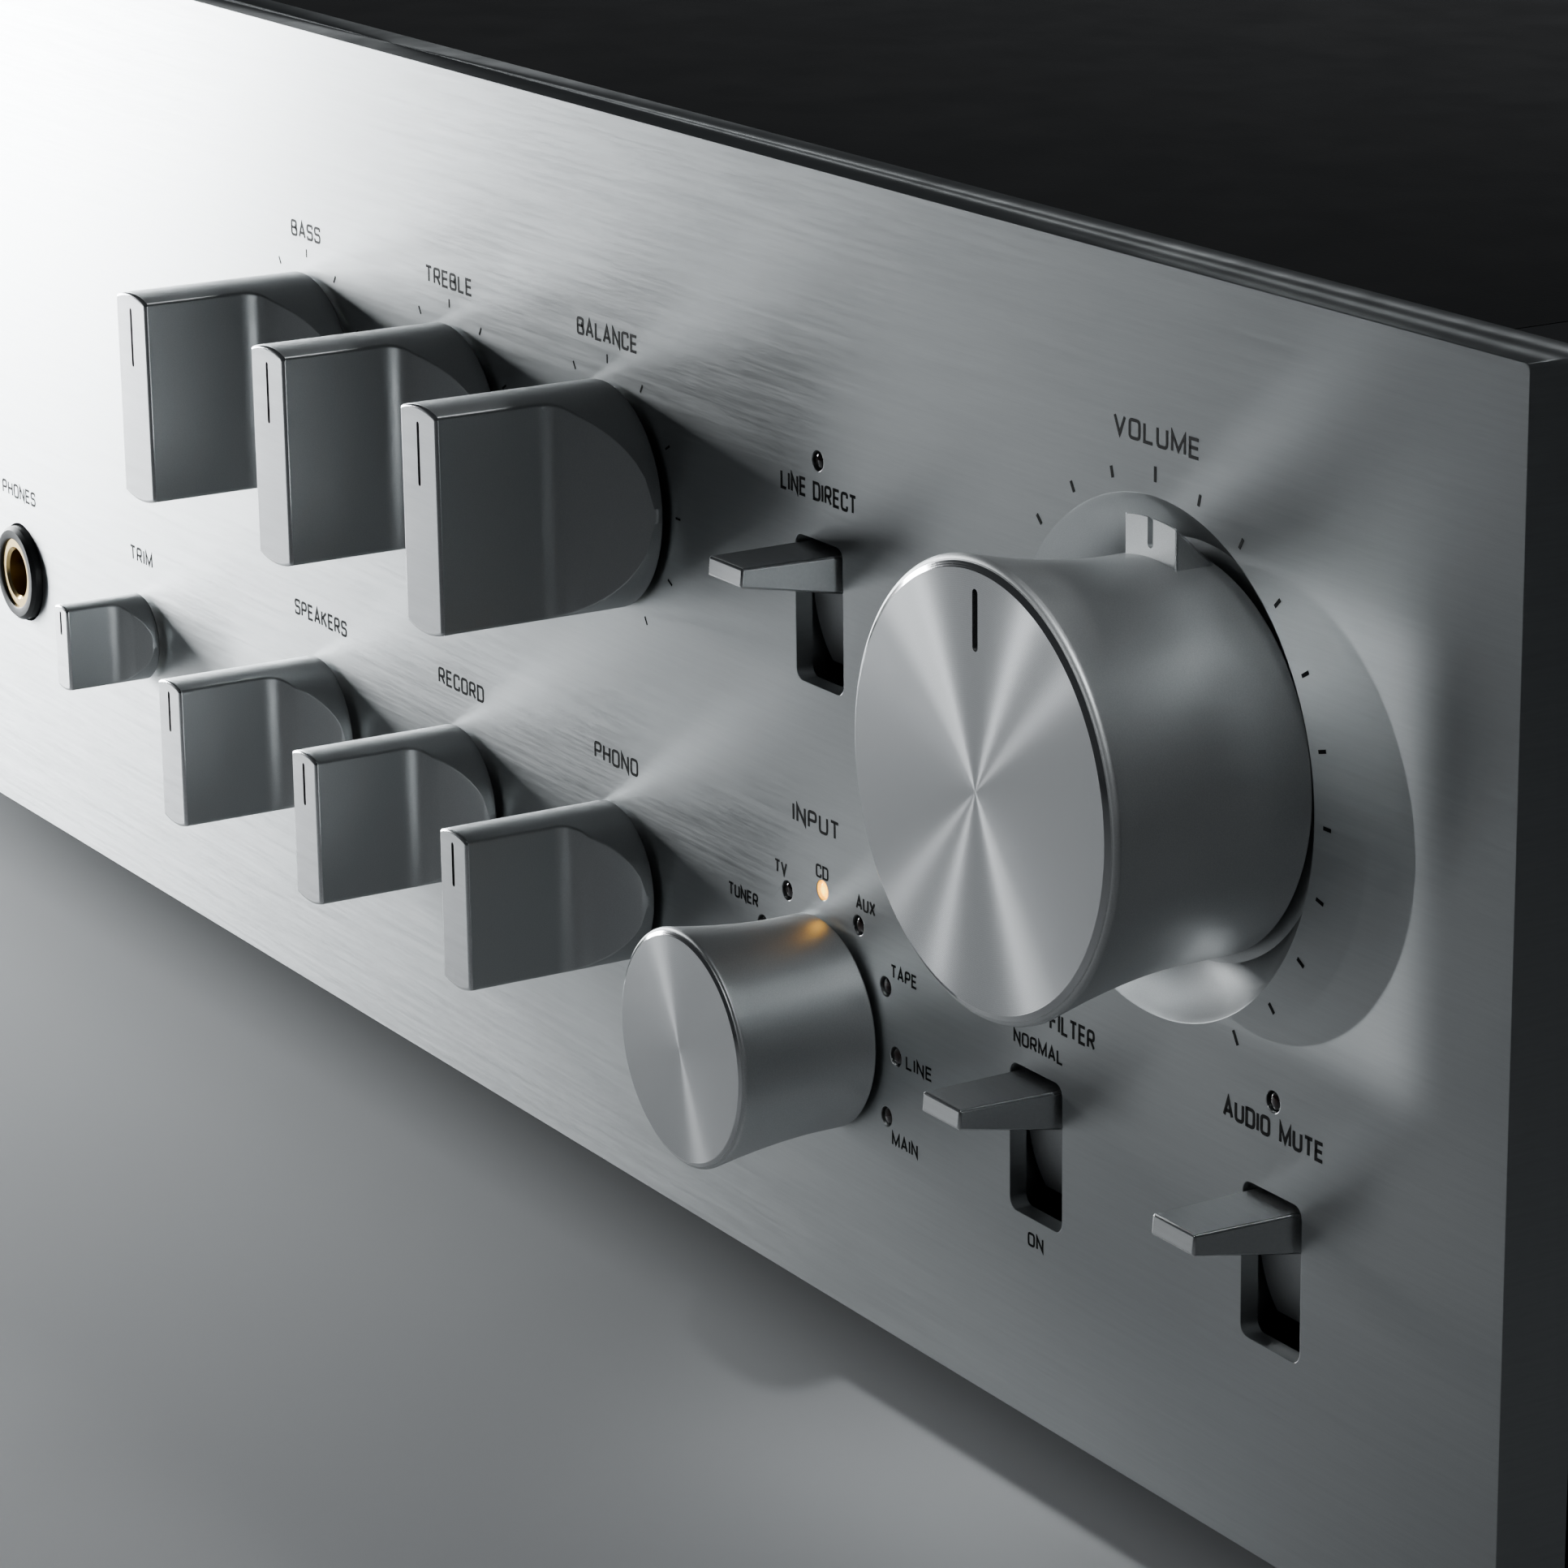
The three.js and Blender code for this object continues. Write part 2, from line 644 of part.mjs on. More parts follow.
// A board inside the rear panel with a barrel through it for each phono jack.
function jackBoard(group) {
  const places = jackPlaces(group);
  const width = group.columns * JACK.pitchX + 2 * JACK_MARGIN;
  const height = 2 * JACK.pitchZ + JACK_MARGIN;
  const back = rearInnerY - GAP;
  const board = bar(width, height, back - JACK.boxDepth, back, group.x, group.z);
  const tip = rearY + JACK.reach;
  const barrels = places.map(({ x, z }) => rod(JACK.barrel, back - 1, tip, x, z, 12));
  const bores = places.map(({ x, z }) => rod(JACK.bore, rearY - JACK.boreDepth, tip + 1, x, z, 6));
  return cut(joined(board, ...barrels), ...bores);
}

// A moulded plate outside the rear panel with four threaded posts.
function terminalBase() {
  const { pitch, post, postInside, postBack, collar, collarDepth } = TERMINAL;
  const { plateHeight, plateDepth, plateMargin } = TERMINAL;
  const plateY = rearY + GAP;
  const collarY = plateY + plateDepth;
  const width = terminalPlaces.length * pitch + 2 * plateMargin;
  const shapes = terminalPlaces.flatMap((x) => [
    rod(collar, collarY - plateDepth / 2, collarY + collarDepth, x, 0, 14),
    rod(post, rearInnerY - postInside, DEPTH / 2 - postBack, x, 0, 8),
  ]);
  return joined(bar(width, plateHeight, plateY, collarY), ...shapes);
}

// A ridged cap round its post, about its own axis; Y = 0 at the rear panel's outer face.
function terminalCap() {
  const { post, plateDepth, collarDepth, capGap, capRadius, capEnd, ridges, ridgeDepth } = TERMINAL;
  const y0 = GAP + plateDepth + collarDepth + capGap;
  const points = Array.from({ length: 2 * ridges }, (_, i) => {
    const angle = (Math.PI * i) / ridges;
    const radius = i % 2 ? capRadius : capRadius - ridgeDepth;
    return [radius * Math.cos(angle), radius * Math.sin(angle)];
  });
  const cap = solid(plate(outline(points), [], y0, TERMINAL_REACH));
  return cut(cap, rod(post + GAP, y0 - 1, TERMINAL_REACH - capEnd, 0, 0, 16));
}

// A thumbscrew and its thread; Y = 0 at the rear panel's outer face.
function groundTerminal() {
  const { head, front: headFront, back: headBack, thread, inside: threadInside } = GROUND;
  return joined(
    rod(head, headFront, headBack, 0, 0, 20),
    rod(thread, -threadInside, headFront + 1, 0, 0, 12),
  );
}

// A flanged socket, open to the back.
function mainsInlet() {
  const { width, height, flange, lip, wall, inside: bodyDepth, socketDepth } = INLET;
  const body = joined(
    bar(width + 2 * lip, height + 2 * lip, rearY + GAP, rearY + GAP + flange),
    bar(width - 2 * wall, height - 2 * wall, rearY - bodyDepth, rearY + 1),
  );
  return cut(body, bar(width - 4 * wall, height - 4 * wall, rearY - socketDepth, rearY + flange + 1));
}

// ---- Inside the case ----

const floorZ = caseBottom + SHEET + GAP;
const STANDOFF = 4;
const boardZ = floorZ + STANDOFF;
const LEG = { width: 5, inset: 5 };
const TRANSFORMER = { x: -40, y: -85, radius: 58, height: 72, edge: 6 };
const CAPACITOR = { leftX: -66, rightX: -14, y: 14, radius: 20, height: 68, edge: 1.6 };
const AMP_BOARD = { x: 135, y: 18, width: 50, length: 180 };
const PREAMP_BOARD = { x: 65, y: 0, width: 60, length: 150 };

// An upright can with a bevelled top edge.
function can({ radius, height, edge }, sides) {
  const profile = [[0, 0], [radius, 0], [radius, height - edge], [radius - edge, height], [0, height]];
  return turned(profile, sides).rotateX(Math.PI / 2);
}

const HEAT_SINK = { x: 168, y: -80, length: 200, height: 92, backPlate: 6, reach: 30, fin: 3, fins: 13 };

// Upright fins on a back plate, made from a comb outline; the fins point to +X or, for side -1, to -X.
function heatSink(side) {
  const { length, height, backPlate, reach, fin, fins } = HEAT_SINK;
  const pitch = (length - fin) / (fins - 1);
  const teeth = Array.from({ length: fins }, (_, i) => [
    [backPlate, i * pitch],
    [reach, i * pitch],
    [reach, i * pitch + fin],
    [backPlate, i * pitch + fin],
  ]).flat();
  const comb = [[0, 0], ...teeth.slice(1, -1), [0, length]].map(([x, y]) => [side * x, y]);
  return new THREE.ExtrudeGeometry(outline(comb), { depth: height, bevelEnabled: false });
}

// A board on four legs, with its larger parts as blocks: each is [x, y, width, length, height].
function circuitBoard({ width, length }, parts) {
  const legs = [-1, 1].flatMap((sx) =>
    [-1, 1].map((sy) => {
      const x = sx * (width / 2 - LEG.inset);
      const y = sy * (length / 2 - LEG.inset);
      const half = LEG.width / 2;
      return block(x - half, x + half, y - half, y + half, -STANDOFF, SHEET / 2);
    }),
  );
  const blocks = parts.map(([x, y, w, l, h]) =>
    block(x - w / 2, x + w / 2, y - l / 2, y + l / 2, SHEET / 2, SHEET + h),
  );
  return joined(block(-width / 2, width / 2, -length / 2, length / 2, 0, SHEET), ...legs, ...blocks);
}

// ---- Assembly ----

const amplifier = new THREE.Group();
const front = new THREE.Group();
const caseParts = new THREE.Group();
const inside = new THREE.Group();
const rear = new THREE.Group();
amplifier.add(front, caseParts, inside, rear);

front.add(
  piece("front_panel", frontPanel(), finishes.aluminium()),
  piece("front_subpanel", frontSubpanel(), finishes.zincSteel()),
  piece("volume_knob", volumeKnob(), finishes.aluminium(), volume.x, frontY, volume.z),
  piece("volume_shaft", shaft(-7, STEM_BACK), finishes.steel(), volume.x, frontY, volume.z),
  piece("volume_control", volumeControl(), finishes.zincSteel(), volume.x, frontY, volume.z),
  piece("input_knob", inputKnob(), finishes.aluminium(), input.x, frontY, input.z),
  piece("input_shaft", shaft(-9, STEM_BACK), finishes.steel(), input.x, frontY, input.z),
  piece("input_selector", inputSelector(), finishes.zincSteel(), input.x, frontY, input.z),
  piece("input_indicator_ring", indicatorRing(), finishes.amber(), input.x, frontY, input.z),
  piece("power_led", lamp(), finishes.amber(), lamps.power.x, frontY, lamps.power.z),
  piece("headphone_jack", headphoneJack(), finishes.blackPlastic(), phones.x, frontY, phones.z),
  piece(
    "tone_control_board",
    controlBoard([bass, treble, balance], TONE_CONTROL, upperRowZ),
    finishes.board(),
    0,
    frontY,
    0,
  ),
  piece(
    "selector_board",
    controlBoard([trimmer, speakers, record, phono], SELECTOR_CONTROL, lowerRowZ),
    finishes.board(),
    0,
    frontY,
    0,
  ),
);

const gripKnobs = {
  bass_knob: bass,
  treble_knob: treble,
  balance_knob: balance,
  speakers_knob: speakers,
  record_knob: record,
  phono_knob: phono,
  trim_knob: trimmer,
};
for (const [name, { x, z, form }] of Object.entries(gripKnobs)) {
  front.add(piece(name, gripKnob(form), finishes.aluminium(), x, frontY, z));
}

for (const [name, place] of Object.entries(leverPlaces)) {
  const { x, y, z } = pivotOf(place);
  const bat = piece(`${name}_lever`, lever(), finishes.aluminium(), x, y, z);
  bat.rotation.x = -THREE.MathUtils.degToRad(LEVER.tilt);
  front.add(bat, piece(`${name}_switch`, leverSwitch(), finishes.blackPlastic(), x, y, z));
}

caseParts.add(
  piece("chassis_base", chassisBase(), finishes.zincSteel()),
  piece("rear_panel", rearPanel(), finishes.blackSteel()),
  piece("top_cover", topCover(), finishes.blackSteel()),
  piece("left_side_panel", sidePanel(-1), finishes.darkLacquer()),
  piece("right_side_panel", sidePanel(1), finishes.darkLacquer()),
);
const footPlaces = {
  foot_front_left: [-FOOT.x, -FOOT.y],
  foot_front_right: [FOOT.x, -FOOT.y],
  foot_rear_left: [-FOOT.x, FOOT.y],
  foot_rear_right: [FOOT.x, FOOT.y],
};
for (const [name, [x, y]] of Object.entries(footPlaces)) {
  caseParts.add(piece(name, foot(), finishes.rubber(), x, y, 0));
}

const { x: coreX, y: coreY } = TRANSFORMER;
const { leftX, rightX, y: canY } = CAPACITOR;
inside.add(
  piece("power_transformer", can(TRANSFORMER, 32), finishes.blackSteel(), coreX, coreY, floorZ),
  piece("filter_capacitor_left", can(CAPACITOR, 20), finishes.capacitor(), leftX, canY, floorZ),
  piece("filter_capacitor_right", can(CAPACITOR, 20), finishes.capacitor(), rightX, canY, floorZ),
  piece(
    "preamp_board",
    circuitBoard(PREAMP_BOARD, [[0, -40, 30, 30, 16], [-10, 30, 20, 50, 12], [18, 20, 8, 60, 14]]),
    finishes.board(),
    PREAMP_BOARD.x,
    PREAMP_BOARD.y,
    boardZ,
  ),
);
for (const [side, sign] of Object.entries({ left: -1, right: 1 })) {
  const parts = [[-sign * 10, -50, 14, 60, 24], [sign * 8, 50, 18, 40, 20]];
  const sink = piece(`heat_sink_${side}`, heatSink(sign), finishes.heatSink());
  sink.position.set(sign * HEAT_SINK.x, HEAT_SINK.y, floorZ);
  const board = piece(`power_amp_board_${side}`, circuitBoard(AMP_BOARD, parts), finishes.board());
  board.position.set(sign * AMP_BOARD.x, AMP_BOARD.y, boardZ);
  inside.add(sink, board);
}

rear.add(
  piece("line_input_jacks", jackBoard(LINE_JACKS), finishes.blackPlastic()),
  piece("record_jacks", jackBoard(RECORD_JACKS), finishes.blackPlastic()),
  piece("ground_terminal", groundTerminal(), finishes.steel(), GROUND.x, rearY, GROUND.z),
  piece("mains_inlet", mainsInlet(), finishes.blackPlastic(), INLET.x, 0, INLET.z),
);
for (const [side, centre] of Object.entries(SPEAKER_X)) {
  rear.add(piece(`speaker_base_${side}`, terminalBase(), finishes.blackPlastic(), centre, 0, SPEAKER_Z));
  terminalPlaces.forEach((offset, i) => {
    const name = `speaker_cap_${side}_${i + 1}`;
    rear.add(piece(name, terminalCap(), finishes.brass(), centre + offset, rearY, SPEAKER_Z));
  });
}

export default amplifier;
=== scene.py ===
import math

import bmesh
import bpy
from mathutils import Matrix, Vector


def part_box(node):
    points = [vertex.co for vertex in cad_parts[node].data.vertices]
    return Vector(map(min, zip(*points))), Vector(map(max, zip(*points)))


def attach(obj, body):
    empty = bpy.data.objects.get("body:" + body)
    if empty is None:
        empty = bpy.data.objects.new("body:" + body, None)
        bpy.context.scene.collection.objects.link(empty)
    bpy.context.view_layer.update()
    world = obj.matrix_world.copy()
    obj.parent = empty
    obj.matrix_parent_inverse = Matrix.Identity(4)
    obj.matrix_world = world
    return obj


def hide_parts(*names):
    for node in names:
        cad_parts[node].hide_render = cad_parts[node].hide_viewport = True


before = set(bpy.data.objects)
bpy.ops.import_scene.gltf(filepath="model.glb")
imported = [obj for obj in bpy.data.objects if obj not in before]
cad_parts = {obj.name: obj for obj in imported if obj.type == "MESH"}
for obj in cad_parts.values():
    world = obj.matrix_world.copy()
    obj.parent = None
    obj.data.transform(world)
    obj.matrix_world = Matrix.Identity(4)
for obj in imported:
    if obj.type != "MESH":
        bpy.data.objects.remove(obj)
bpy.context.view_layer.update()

MM = 0.001
ORIGIN = (0, 0, 0)
scene = bpy.context.scene


# ---- Places, read from the frame, in millimetres ----

def corners(node):
    """The lowest and highest corners of a CAD node, in millimetres."""
    low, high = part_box(node)
    return low / MM, high / MM


def middle(node):
    low, high = corners(node)
    return (low + high) / 2


panel_low, panel_high = corners("front_panel")
FRONT = panel_low.y
PANEL_BACK = panel_high.y
VOLUME = middle("volume_shaft")
INPUT = middle("input_shaft")
REAR = corners("rear_panel")[1].y


# ---- Camera ----

CAMERA_OFFSET = Vector((392.41, -275.46, 140.15))  # from the volume knob's axis on the faceplate
CAMERA_YAW = math.radians(59.12)  # turned to the left of straight ahead
CAMERA_PITCH = math.radians(-16.56)
CAMERA_ROLL = math.radians(-0.74)
CAMERA_LENS = 120.65
CAMERA_SENSOR = 36


def make_camera():
    data = bpy.data.cameras.new("camera")
    data.lens = CAMERA_LENS
    data.sensor_width = CAMERA_SENSOR
    data.clip_start = 0.01
    camera = bpy.data.objects.new("camera", data)
    scene.collection.objects.link(camera)
    level = math.cos(CAMERA_PITCH)
    ahead = Vector((-math.sin(CAMERA_YAW) * level, math.cos(CAMERA_YAW) * level, math.sin(CAMERA_PITCH)))
    side = Vector((math.cos(CAMERA_YAW), math.sin(CAMERA_YAW), 0))
    up = side.cross(ahead)
    right = math.cos(CAMERA_ROLL) * side + math.sin(CAMERA_ROLL) * up
    top = math.cos(CAMERA_ROLL) * up - math.sin(CAMERA_ROLL) * side
    turn = Matrix((right, top, -ahead)).transposed().to_4x4()
    place = (Vector((VOLUME.x, FRONT, VOLUME.z)) + CAMERA_OFFSET) * MM
    camera.matrix_world = Matrix.Translation(place) @ turn
    scene.camera = camera


make_camera()


# ---- Materials ----

def add(tree, kind, settings=None, **inputs):
    """A new shader node; an input given as a socket is linked, and any other value is set."""
    made = tree.nodes.new(kind)
    for name, value in (settings or {}).items():
        setattr(made, name, value)
    for name, value in inputs.items():
        socket = made.inputs[name.replace("_", " ")]
        if isinstance(value, bpy.types.NodeSocket):
            tree.links.new(value, socket)
        else:
            socket.default_value = value
    return made


def principled(name, colour, metallic, roughness, **sockets):
    made = bpy.data.materials.new(name)
    made.use_nodes = True
    made.diffuse_color = (*colour, 1)
    shader = made.node_tree.nodes["Principled BSDF"]
    shader.inputs["Base Color"].default_value = (*colour, 1)
    shader.inputs["Metallic"].default_value = metallic
    shader.inputs["Roughness"].default_value = roughness
    for socket, value in sockets.items():
        shader.inputs[socket.replace("_", " ")].default_value = value
    return made


def noise(tree, size, detail=2.0, seed=0.0):
    """Noise whose grains measure size, in millimetres along X, Y and Z of the piece."""
    coords = add(tree, "ShaderNodeTexCoord")
    place = coords.outputs["Object"]
    scale = tuple(1 / (MM * s) for s in size)
    mapped = add(tree, "ShaderNodeMapping", Vector=place, Scale=scale, Location=(seed, seed, seed))
    made = add(tree, "ShaderNodeTexNoise", Vector=mapped.outputs["Vector"], Scale=1.0, Detail=detail)
    return made.outputs["Fac"]


def spread(tree, value, low, high):
    """The noise value, spread over the range from low to high."""
    made = add(tree, "ShaderNodeMapRange", Value=value, From_Min=0.3, From_Max=0.7, To_Min=low, To_Max=high)
    return made.outputs["Result"]


def vary_colour(tree, value, dark, light):
    """Colour between dark and light, as the noise value goes from low to high."""
    made = add(tree, "ShaderNodeValToRGB", Fac=value)
    made.color_ramp.elements[0].position = 0.3
    made.color_ramp.elements[0].color = (*dark, 1)
    made.color_ramp.elements[1].position = 0.7
    made.color_ramp.elements[1].color = (*light, 1)
    return made.outputs["Color"]


def feed(made, socket, value):
    """Links a value to one of the material's shader sockets."""
    tree = made.node_tree
    tree.links.new(value, tree.nodes["Principled BSDF"].inputs[socket])


def rough(made, value, low, high):
    """Varies the roughness from low to high with the noise value."""
    feed(made, "Roughness", spread(made.node_tree, value, low, high))


def shaded(made, value, colour, dark, light):
    """Varies the colour with the noise value, between two shares of its brightness."""
    shades = [[min(1, c * share) for c in colour] for share in (dark, light)]
    feed(made, "Base Color", vary_colour(made.node_tree, value, *shades))


def bumped(made, height, strength, depth):
    """Links a bump of the given depth, in millimetres, to the material's normal."""
    bump = add(made.node_tree, "ShaderNodeBump", Height=height, Strength=strength, Distance=depth * MM)
    feed(made, "Normal", bump.outputs["Normal"])


def mean(tree, a, b):
    """The value halfway between two."""
    made = add(tree, "ShaderNodeMix", {"data_type": "FLOAT"}, Factor=0.5)
    tree.links.new(a, made.inputs[2])
    tree.links.new(b, made.inputs[3])
    return made.outputs[0]


def tangent(made, axis):
    """The direction that anisotropic gloss follows: round the given axis of the piece."""
    round_axis = add(made.node_tree, "ShaderNodeTangent", {"direction_type": "RADIAL", "axis": axis})
    feed(made, "Tangent", round_axis.outputs["Tangent"])


def brushed(name, colour, roughness, grain, anisotropic=0.0, depth=0.004):
    """Metal with a straight grain; grain is the size of one scratch in X, Y and Z."""
    made = principled(name, colour, 1.0, roughness, Anisotropic=anisotropic, Anisotropic_Rotation=0.25)
    tree = made.node_tree
    fine = noise(tree, grain, 3.0)
    broad = noise(tree, [5 * g for g in grain], 2.0, 3.7)
    both = mean(tree, fine, broad)
    rough(made, both, roughness - 0.05, roughness + 0.05)
    shaded(made, both, colour, 0.94, 1.05)
    bumped(made, both, 0.5, depth)
    if anisotropic:
        tangent(made, "Z")
    return made


def blasted(name, colour, roughness, grain=0.12, depth=0.012, metallic=1.0):
    """Bead-blasted metal: an even grain with a slow variation in gloss."""
    made = principled(name, colour, metallic, roughness)
    tree = made.node_tree
    fine = noise(tree, (grain, grain, grain), 2.0)
    broad = noise(tree, (9, 9, 9), 3.0, 1.3)
    rough(made, broad, roughness - 0.04, roughness + 0.04)
    shaded(made, fine, colour, 0.93, 1.05)
    bumped(made, fine, 0.6, depth)
    return made


def spun(name, colour, roughness, anisotropic, pitch=0.2):
    """A turned face: fine rings round the piece's Y axis, with gloss that fans out from the middle."""
    made = principled(name, colour, 1.0, roughness, Anisotropic=anisotropic, Anisotropic_Rotation=0.25)
    tree = made.node_tree
    coords = add(tree, "ShaderNodeTexCoord")
    rings = add(
        tree,
        "ShaderNodeTexWave",
        {"wave_type": "RINGS", "rings_direction": "Y"},
        Vector=coords.outputs["Object"],
        Scale=2 * math.pi / (20 * pitch * MM),
        Distortion=0.4,
        Detail=2.0,
    )
    rough(made, rings.outputs["Fac"], roughness - 0.03, roughness + 0.03)
    bumped(made, rings.outputs["Fac"], 0.25, 0.003)
    tangent(made, "Y")
    return made


def plastic(name, colour, roughness, grain=0.3, depth=0.01, **sockets):
    """Moulded or painted: a fine texture, with a slow variation in colour and gloss."""
    made = principled(name, colour, 0.0, roughness, **sockets)
    tree = made.node_tree
    fine = noise(tree, (grain, grain, grain), 2.0)
    broad = noise(tree, (14, 14, 14), 2.0, 2.1)
    rough(made, broad, roughness - 0.05, roughness + 0.06)
    shaded(made, broad, colour, 0.85, 1.15)
    bumped(made, fine, 0.5, depth)
    return made


def lamp_lens(name, centre, rim, glow):
    """A small clear dome that changes colour from its centre to its rim, and may shine."""
    made = principled(name, centre, 0.0, 0.1, Coat_Weight=1.0, Coat_Roughness=0.03, Emission_Strength=glow)
    tree = made.node_tree
    coords = add(tree, "ShaderNodeTexCoord")
    away = add(tree, "ShaderNodeVectorMath", {"operation": "LENGTH"}, Vector=coords.outputs["Object"])
    share = add(tree, "ShaderNodeMapRange", Value=away.outputs["Value"], From_Max=LENS_RADIUS * MM)
    colour = vary_colour(tree, share.outputs["Result"], centre, rim)
    feed(made, "Base Color", colour)
    feed(made, "Emission Color", colour)
    rough(made, noise(tree, (0.4, 0.4, 0.4)), 0.06, 0.16)
    return made


def floor_paint():
    made = principled("floor_pale", (0.6, 0.61, 0.62), 0.0, 0.6)
    fine = noise(made.node_tree, (1.5, 1.5, 1.5), 3.0)
    rough(made, fine, 0.58, 0.64)
    bumped(made, fine, 0.2, 0.02)
    return made


LENS_RADIUS = 1.0
SILVER = (0.64, 0.66, 0.665)
panel_finish = brushed("front_brushed", SILVER, 0.36, (3.0, 3.0, 0.09), 0.9, 0.003)
dish_finish = blasted("dish_blasted", (0.66, 0.675, 0.68), 0.45, 0.1, 0.006)
knob_finish = blasted("knob_blasted", (0.66, 0.675, 0.68), 0.5, 0.13, 0.018)
face_finish = spun("knob_spun_face", (0.68, 0.69, 0.7), 0.22, 0.97)
rim_finish = spun("knob_polished_rim", (0.78, 0.79, 0.8), 0.12, 0.3)
grip_finish = blasted("grip_blasted", (0.57, 0.585, 0.59), 0.42, 0.11, 0.01)
grip_face_finish = brushed("grip_face_brushed", (0.7, 0.71, 0.72), 0.36, (3.0, 3.0, 0.09), 0.9, 0.003)
edge_finish = blasted("polished_edge", (0.8, 0.81, 0.82), 0.18, 0.2, 0.002)
lever_finish = brushed("lever_brushed", (0.84, 0.85, 0.855), 0.33, (1.6, 0.07, 0.07), depth=0.004)
shutter_finish = blasted("shutter_satin", (0.76, 0.77, 0.775), 0.5, 0.1, 0.006, 0.45)
ink_finish = plastic("ink_black", (0.004, 0.004, 0.004), 0.6, 0.1, 0.002, Specular_IOR_Level=0.15)
white_ink_finish = plastic("ink_white", (0.7, 0.7, 0.69), 0.6, 0.1, 0.002)
zinc_finish = blasted("zinc_plated", (0.5, 0.51, 0.5), 0.38, 2.5, 0.01)
shaft_finish = brushed("shaft_steel", (0.55, 0.55, 0.56), 0.28, (0.2, 3.0, 0.2), depth=0.002)
black_steel_finish = blasted("black_powder_coat", (0.018, 0.018, 0.019), 0.48, 0.35, 0.03, 0.0)
lacquer_coat = {"Coat_Weight": 0.7, "Coat_Roughness": 0.08}
lacquer_finish = plastic("black_lacquer", (0.008, 0.008, 0.009), 0.28, 0.8, 0.004, **lacquer_coat)
rubber_finish = plastic("foot_rubber", (0.014, 0.014, 0.014), 0.75, 0.25, 0.02)
plastic_finish = plastic("black_moulding", (0.014, 0.014, 0.015), 0.42, 0.25, 0.012)
board_finish = plastic("circuit_board", (0.02, 0.085, 0.035), 0.45, 1.2, 0.02)
sleeve_finish = plastic("capacitor_sleeve", (0.012, 0.016, 0.035), 0.32, 0.8, 0.006, Coat_Weight=0.3)
heat_sink_finish = blasted("black_anodised", (0.03, 0.031, 0.033), 0.42, 0.2, 0.01)
gold_finish = blasted("gold_plate", (0.83, 0.6, 0.26), 0.2, 0.6, 0.003)
white_finish = plastic("jack_white", (0.62, 0.62, 0.6), 0.4)
red_finish = plastic("jack_red", (0.45, 0.02, 0.02), 0.4)
unlit_finish = lamp_lens("lamp_unlit", (0.02, 0.005, 0.004), (0.008, 0.003, 0.003), 0.0)
lit_finish = lamp_lens("lamp_lit", (1.0, 0.66, 0.08), (1.0, 0.42, 0.0), 6.0)

# Finishes with their material slots.
MOULDED = (plastic_finish, "black_plastic")
GILDED = (gold_finish, "gold_plating")
ZINC_PLATED = (zinc_finish, "zinc_steel")
POWDER_COATED = (black_steel_finish, "black_steel")
RED = (red_finish, "jack_red")
WHITE = (white_finish, "jack_white")


# ---- Mesh helpers; all take millimetres ----

def finished(name, mesh_data, finishes, place=ORIGIN, sharp=30.0):
    """An object from a bmesh, smooth but for edges sharper than the given angle."""
    bmesh.ops.recalc_face_normals(mesh_data, faces=mesh_data.faces)
    mesh = bpy.data.meshes.new(name)
    mesh_data.to_mesh(mesh)
    mesh_data.free()
    mesh.transform(Matrix.Scale(MM, 4))
    for made in finishes:
        mesh.materials.append(made)
    mesh.polygons.foreach_set("use_smooth", [True] * len(mesh.polygons))
    mesh.set_sharp_from_angle(angle=math.radians(sharp))
    piece = bpy.data.objects.new(name, mesh)
    piece.location = Vector(place) * MM
    scene.collection.objects.link(piece)
    return piece


def settled(piece, sharp=30.0):
    """Applies the piece's modifiers, and shades it smooth but for edges sharper than the given angle."""
    graph = bpy.context.evaluated_depsgraph_get()
    mesh = bpy.data.meshes.new_from_object(piece.evaluated_get(graph))
    old = piece.data
    piece.modifiers.clear()
    piece.data = mesh
    mesh.name = piece.name
    bpy.data.meshes.remove(old)
    mesh.polygons.foreach_set("use_smooth", [True] * len(mesh.polygons))
    mesh.set_sharp_from_angle(angle=math.radians(sharp))
    return piece


def flatter(piece):
    """Lets the large faces set the shading, so that flat faces look flat beside round edges."""
    made = piece.modifiers.new("weighted_normal", "WEIGHTED_NORMAL")
    made.keep_sharp = True
    made.use_face_influence = True
    made.weight = 80
    return piece


def rounded_edges(piece, width, segments=3, finish=-1, angle=30.0):
    made = piece.modifiers.new("edges", "BEVEL")
    made.width = width * MM
    made.segments = segments
    made.limit_method = "ANGLE"
    made.angle_limit = math.radians(angle)
    made.material = finish
    made.face_strength_mode = "FSTR_AFFECTED"
    return piece


def cut_away(piece, cutter, sharp=30.0):
    """Cuts the cutter's shape out of the piece; the new faces keep the cutter's material."""
    made = piece.modifiers.new("cut", "BOOLEAN")
    made.operation = "DIFFERENCE"
    made.solver = "EXACT"
    made.material_mode = "TRANSFER"
    made.object = cutter
    settled(piece, sharp)
    bpy.data.objects.remove(cutter)
    return piece


def bridged(mesh_data, rings, bands=None, closed=False):
    """Joins rings of points with faces; a ring of one point is a pole. bands are material indices."""
    pairs = list(zip(rings, rings[1:] + rings[:1] if closed else rings[1:]))
    for index, (a, b) in enumerate(pairs):
        count = max(len(a), len(b))
        if count == 1:
            continue
        for k in range(count):
            after = (k + 1) % count
            loop = [a[k % len(a)], a[after % len(a)], b[after % len(b)], b[k % len(b)]]
            face = mesh_data.faces.new(list(dict.fromkeys(loop)))
            face.material_index = bands[index] if bands else 0


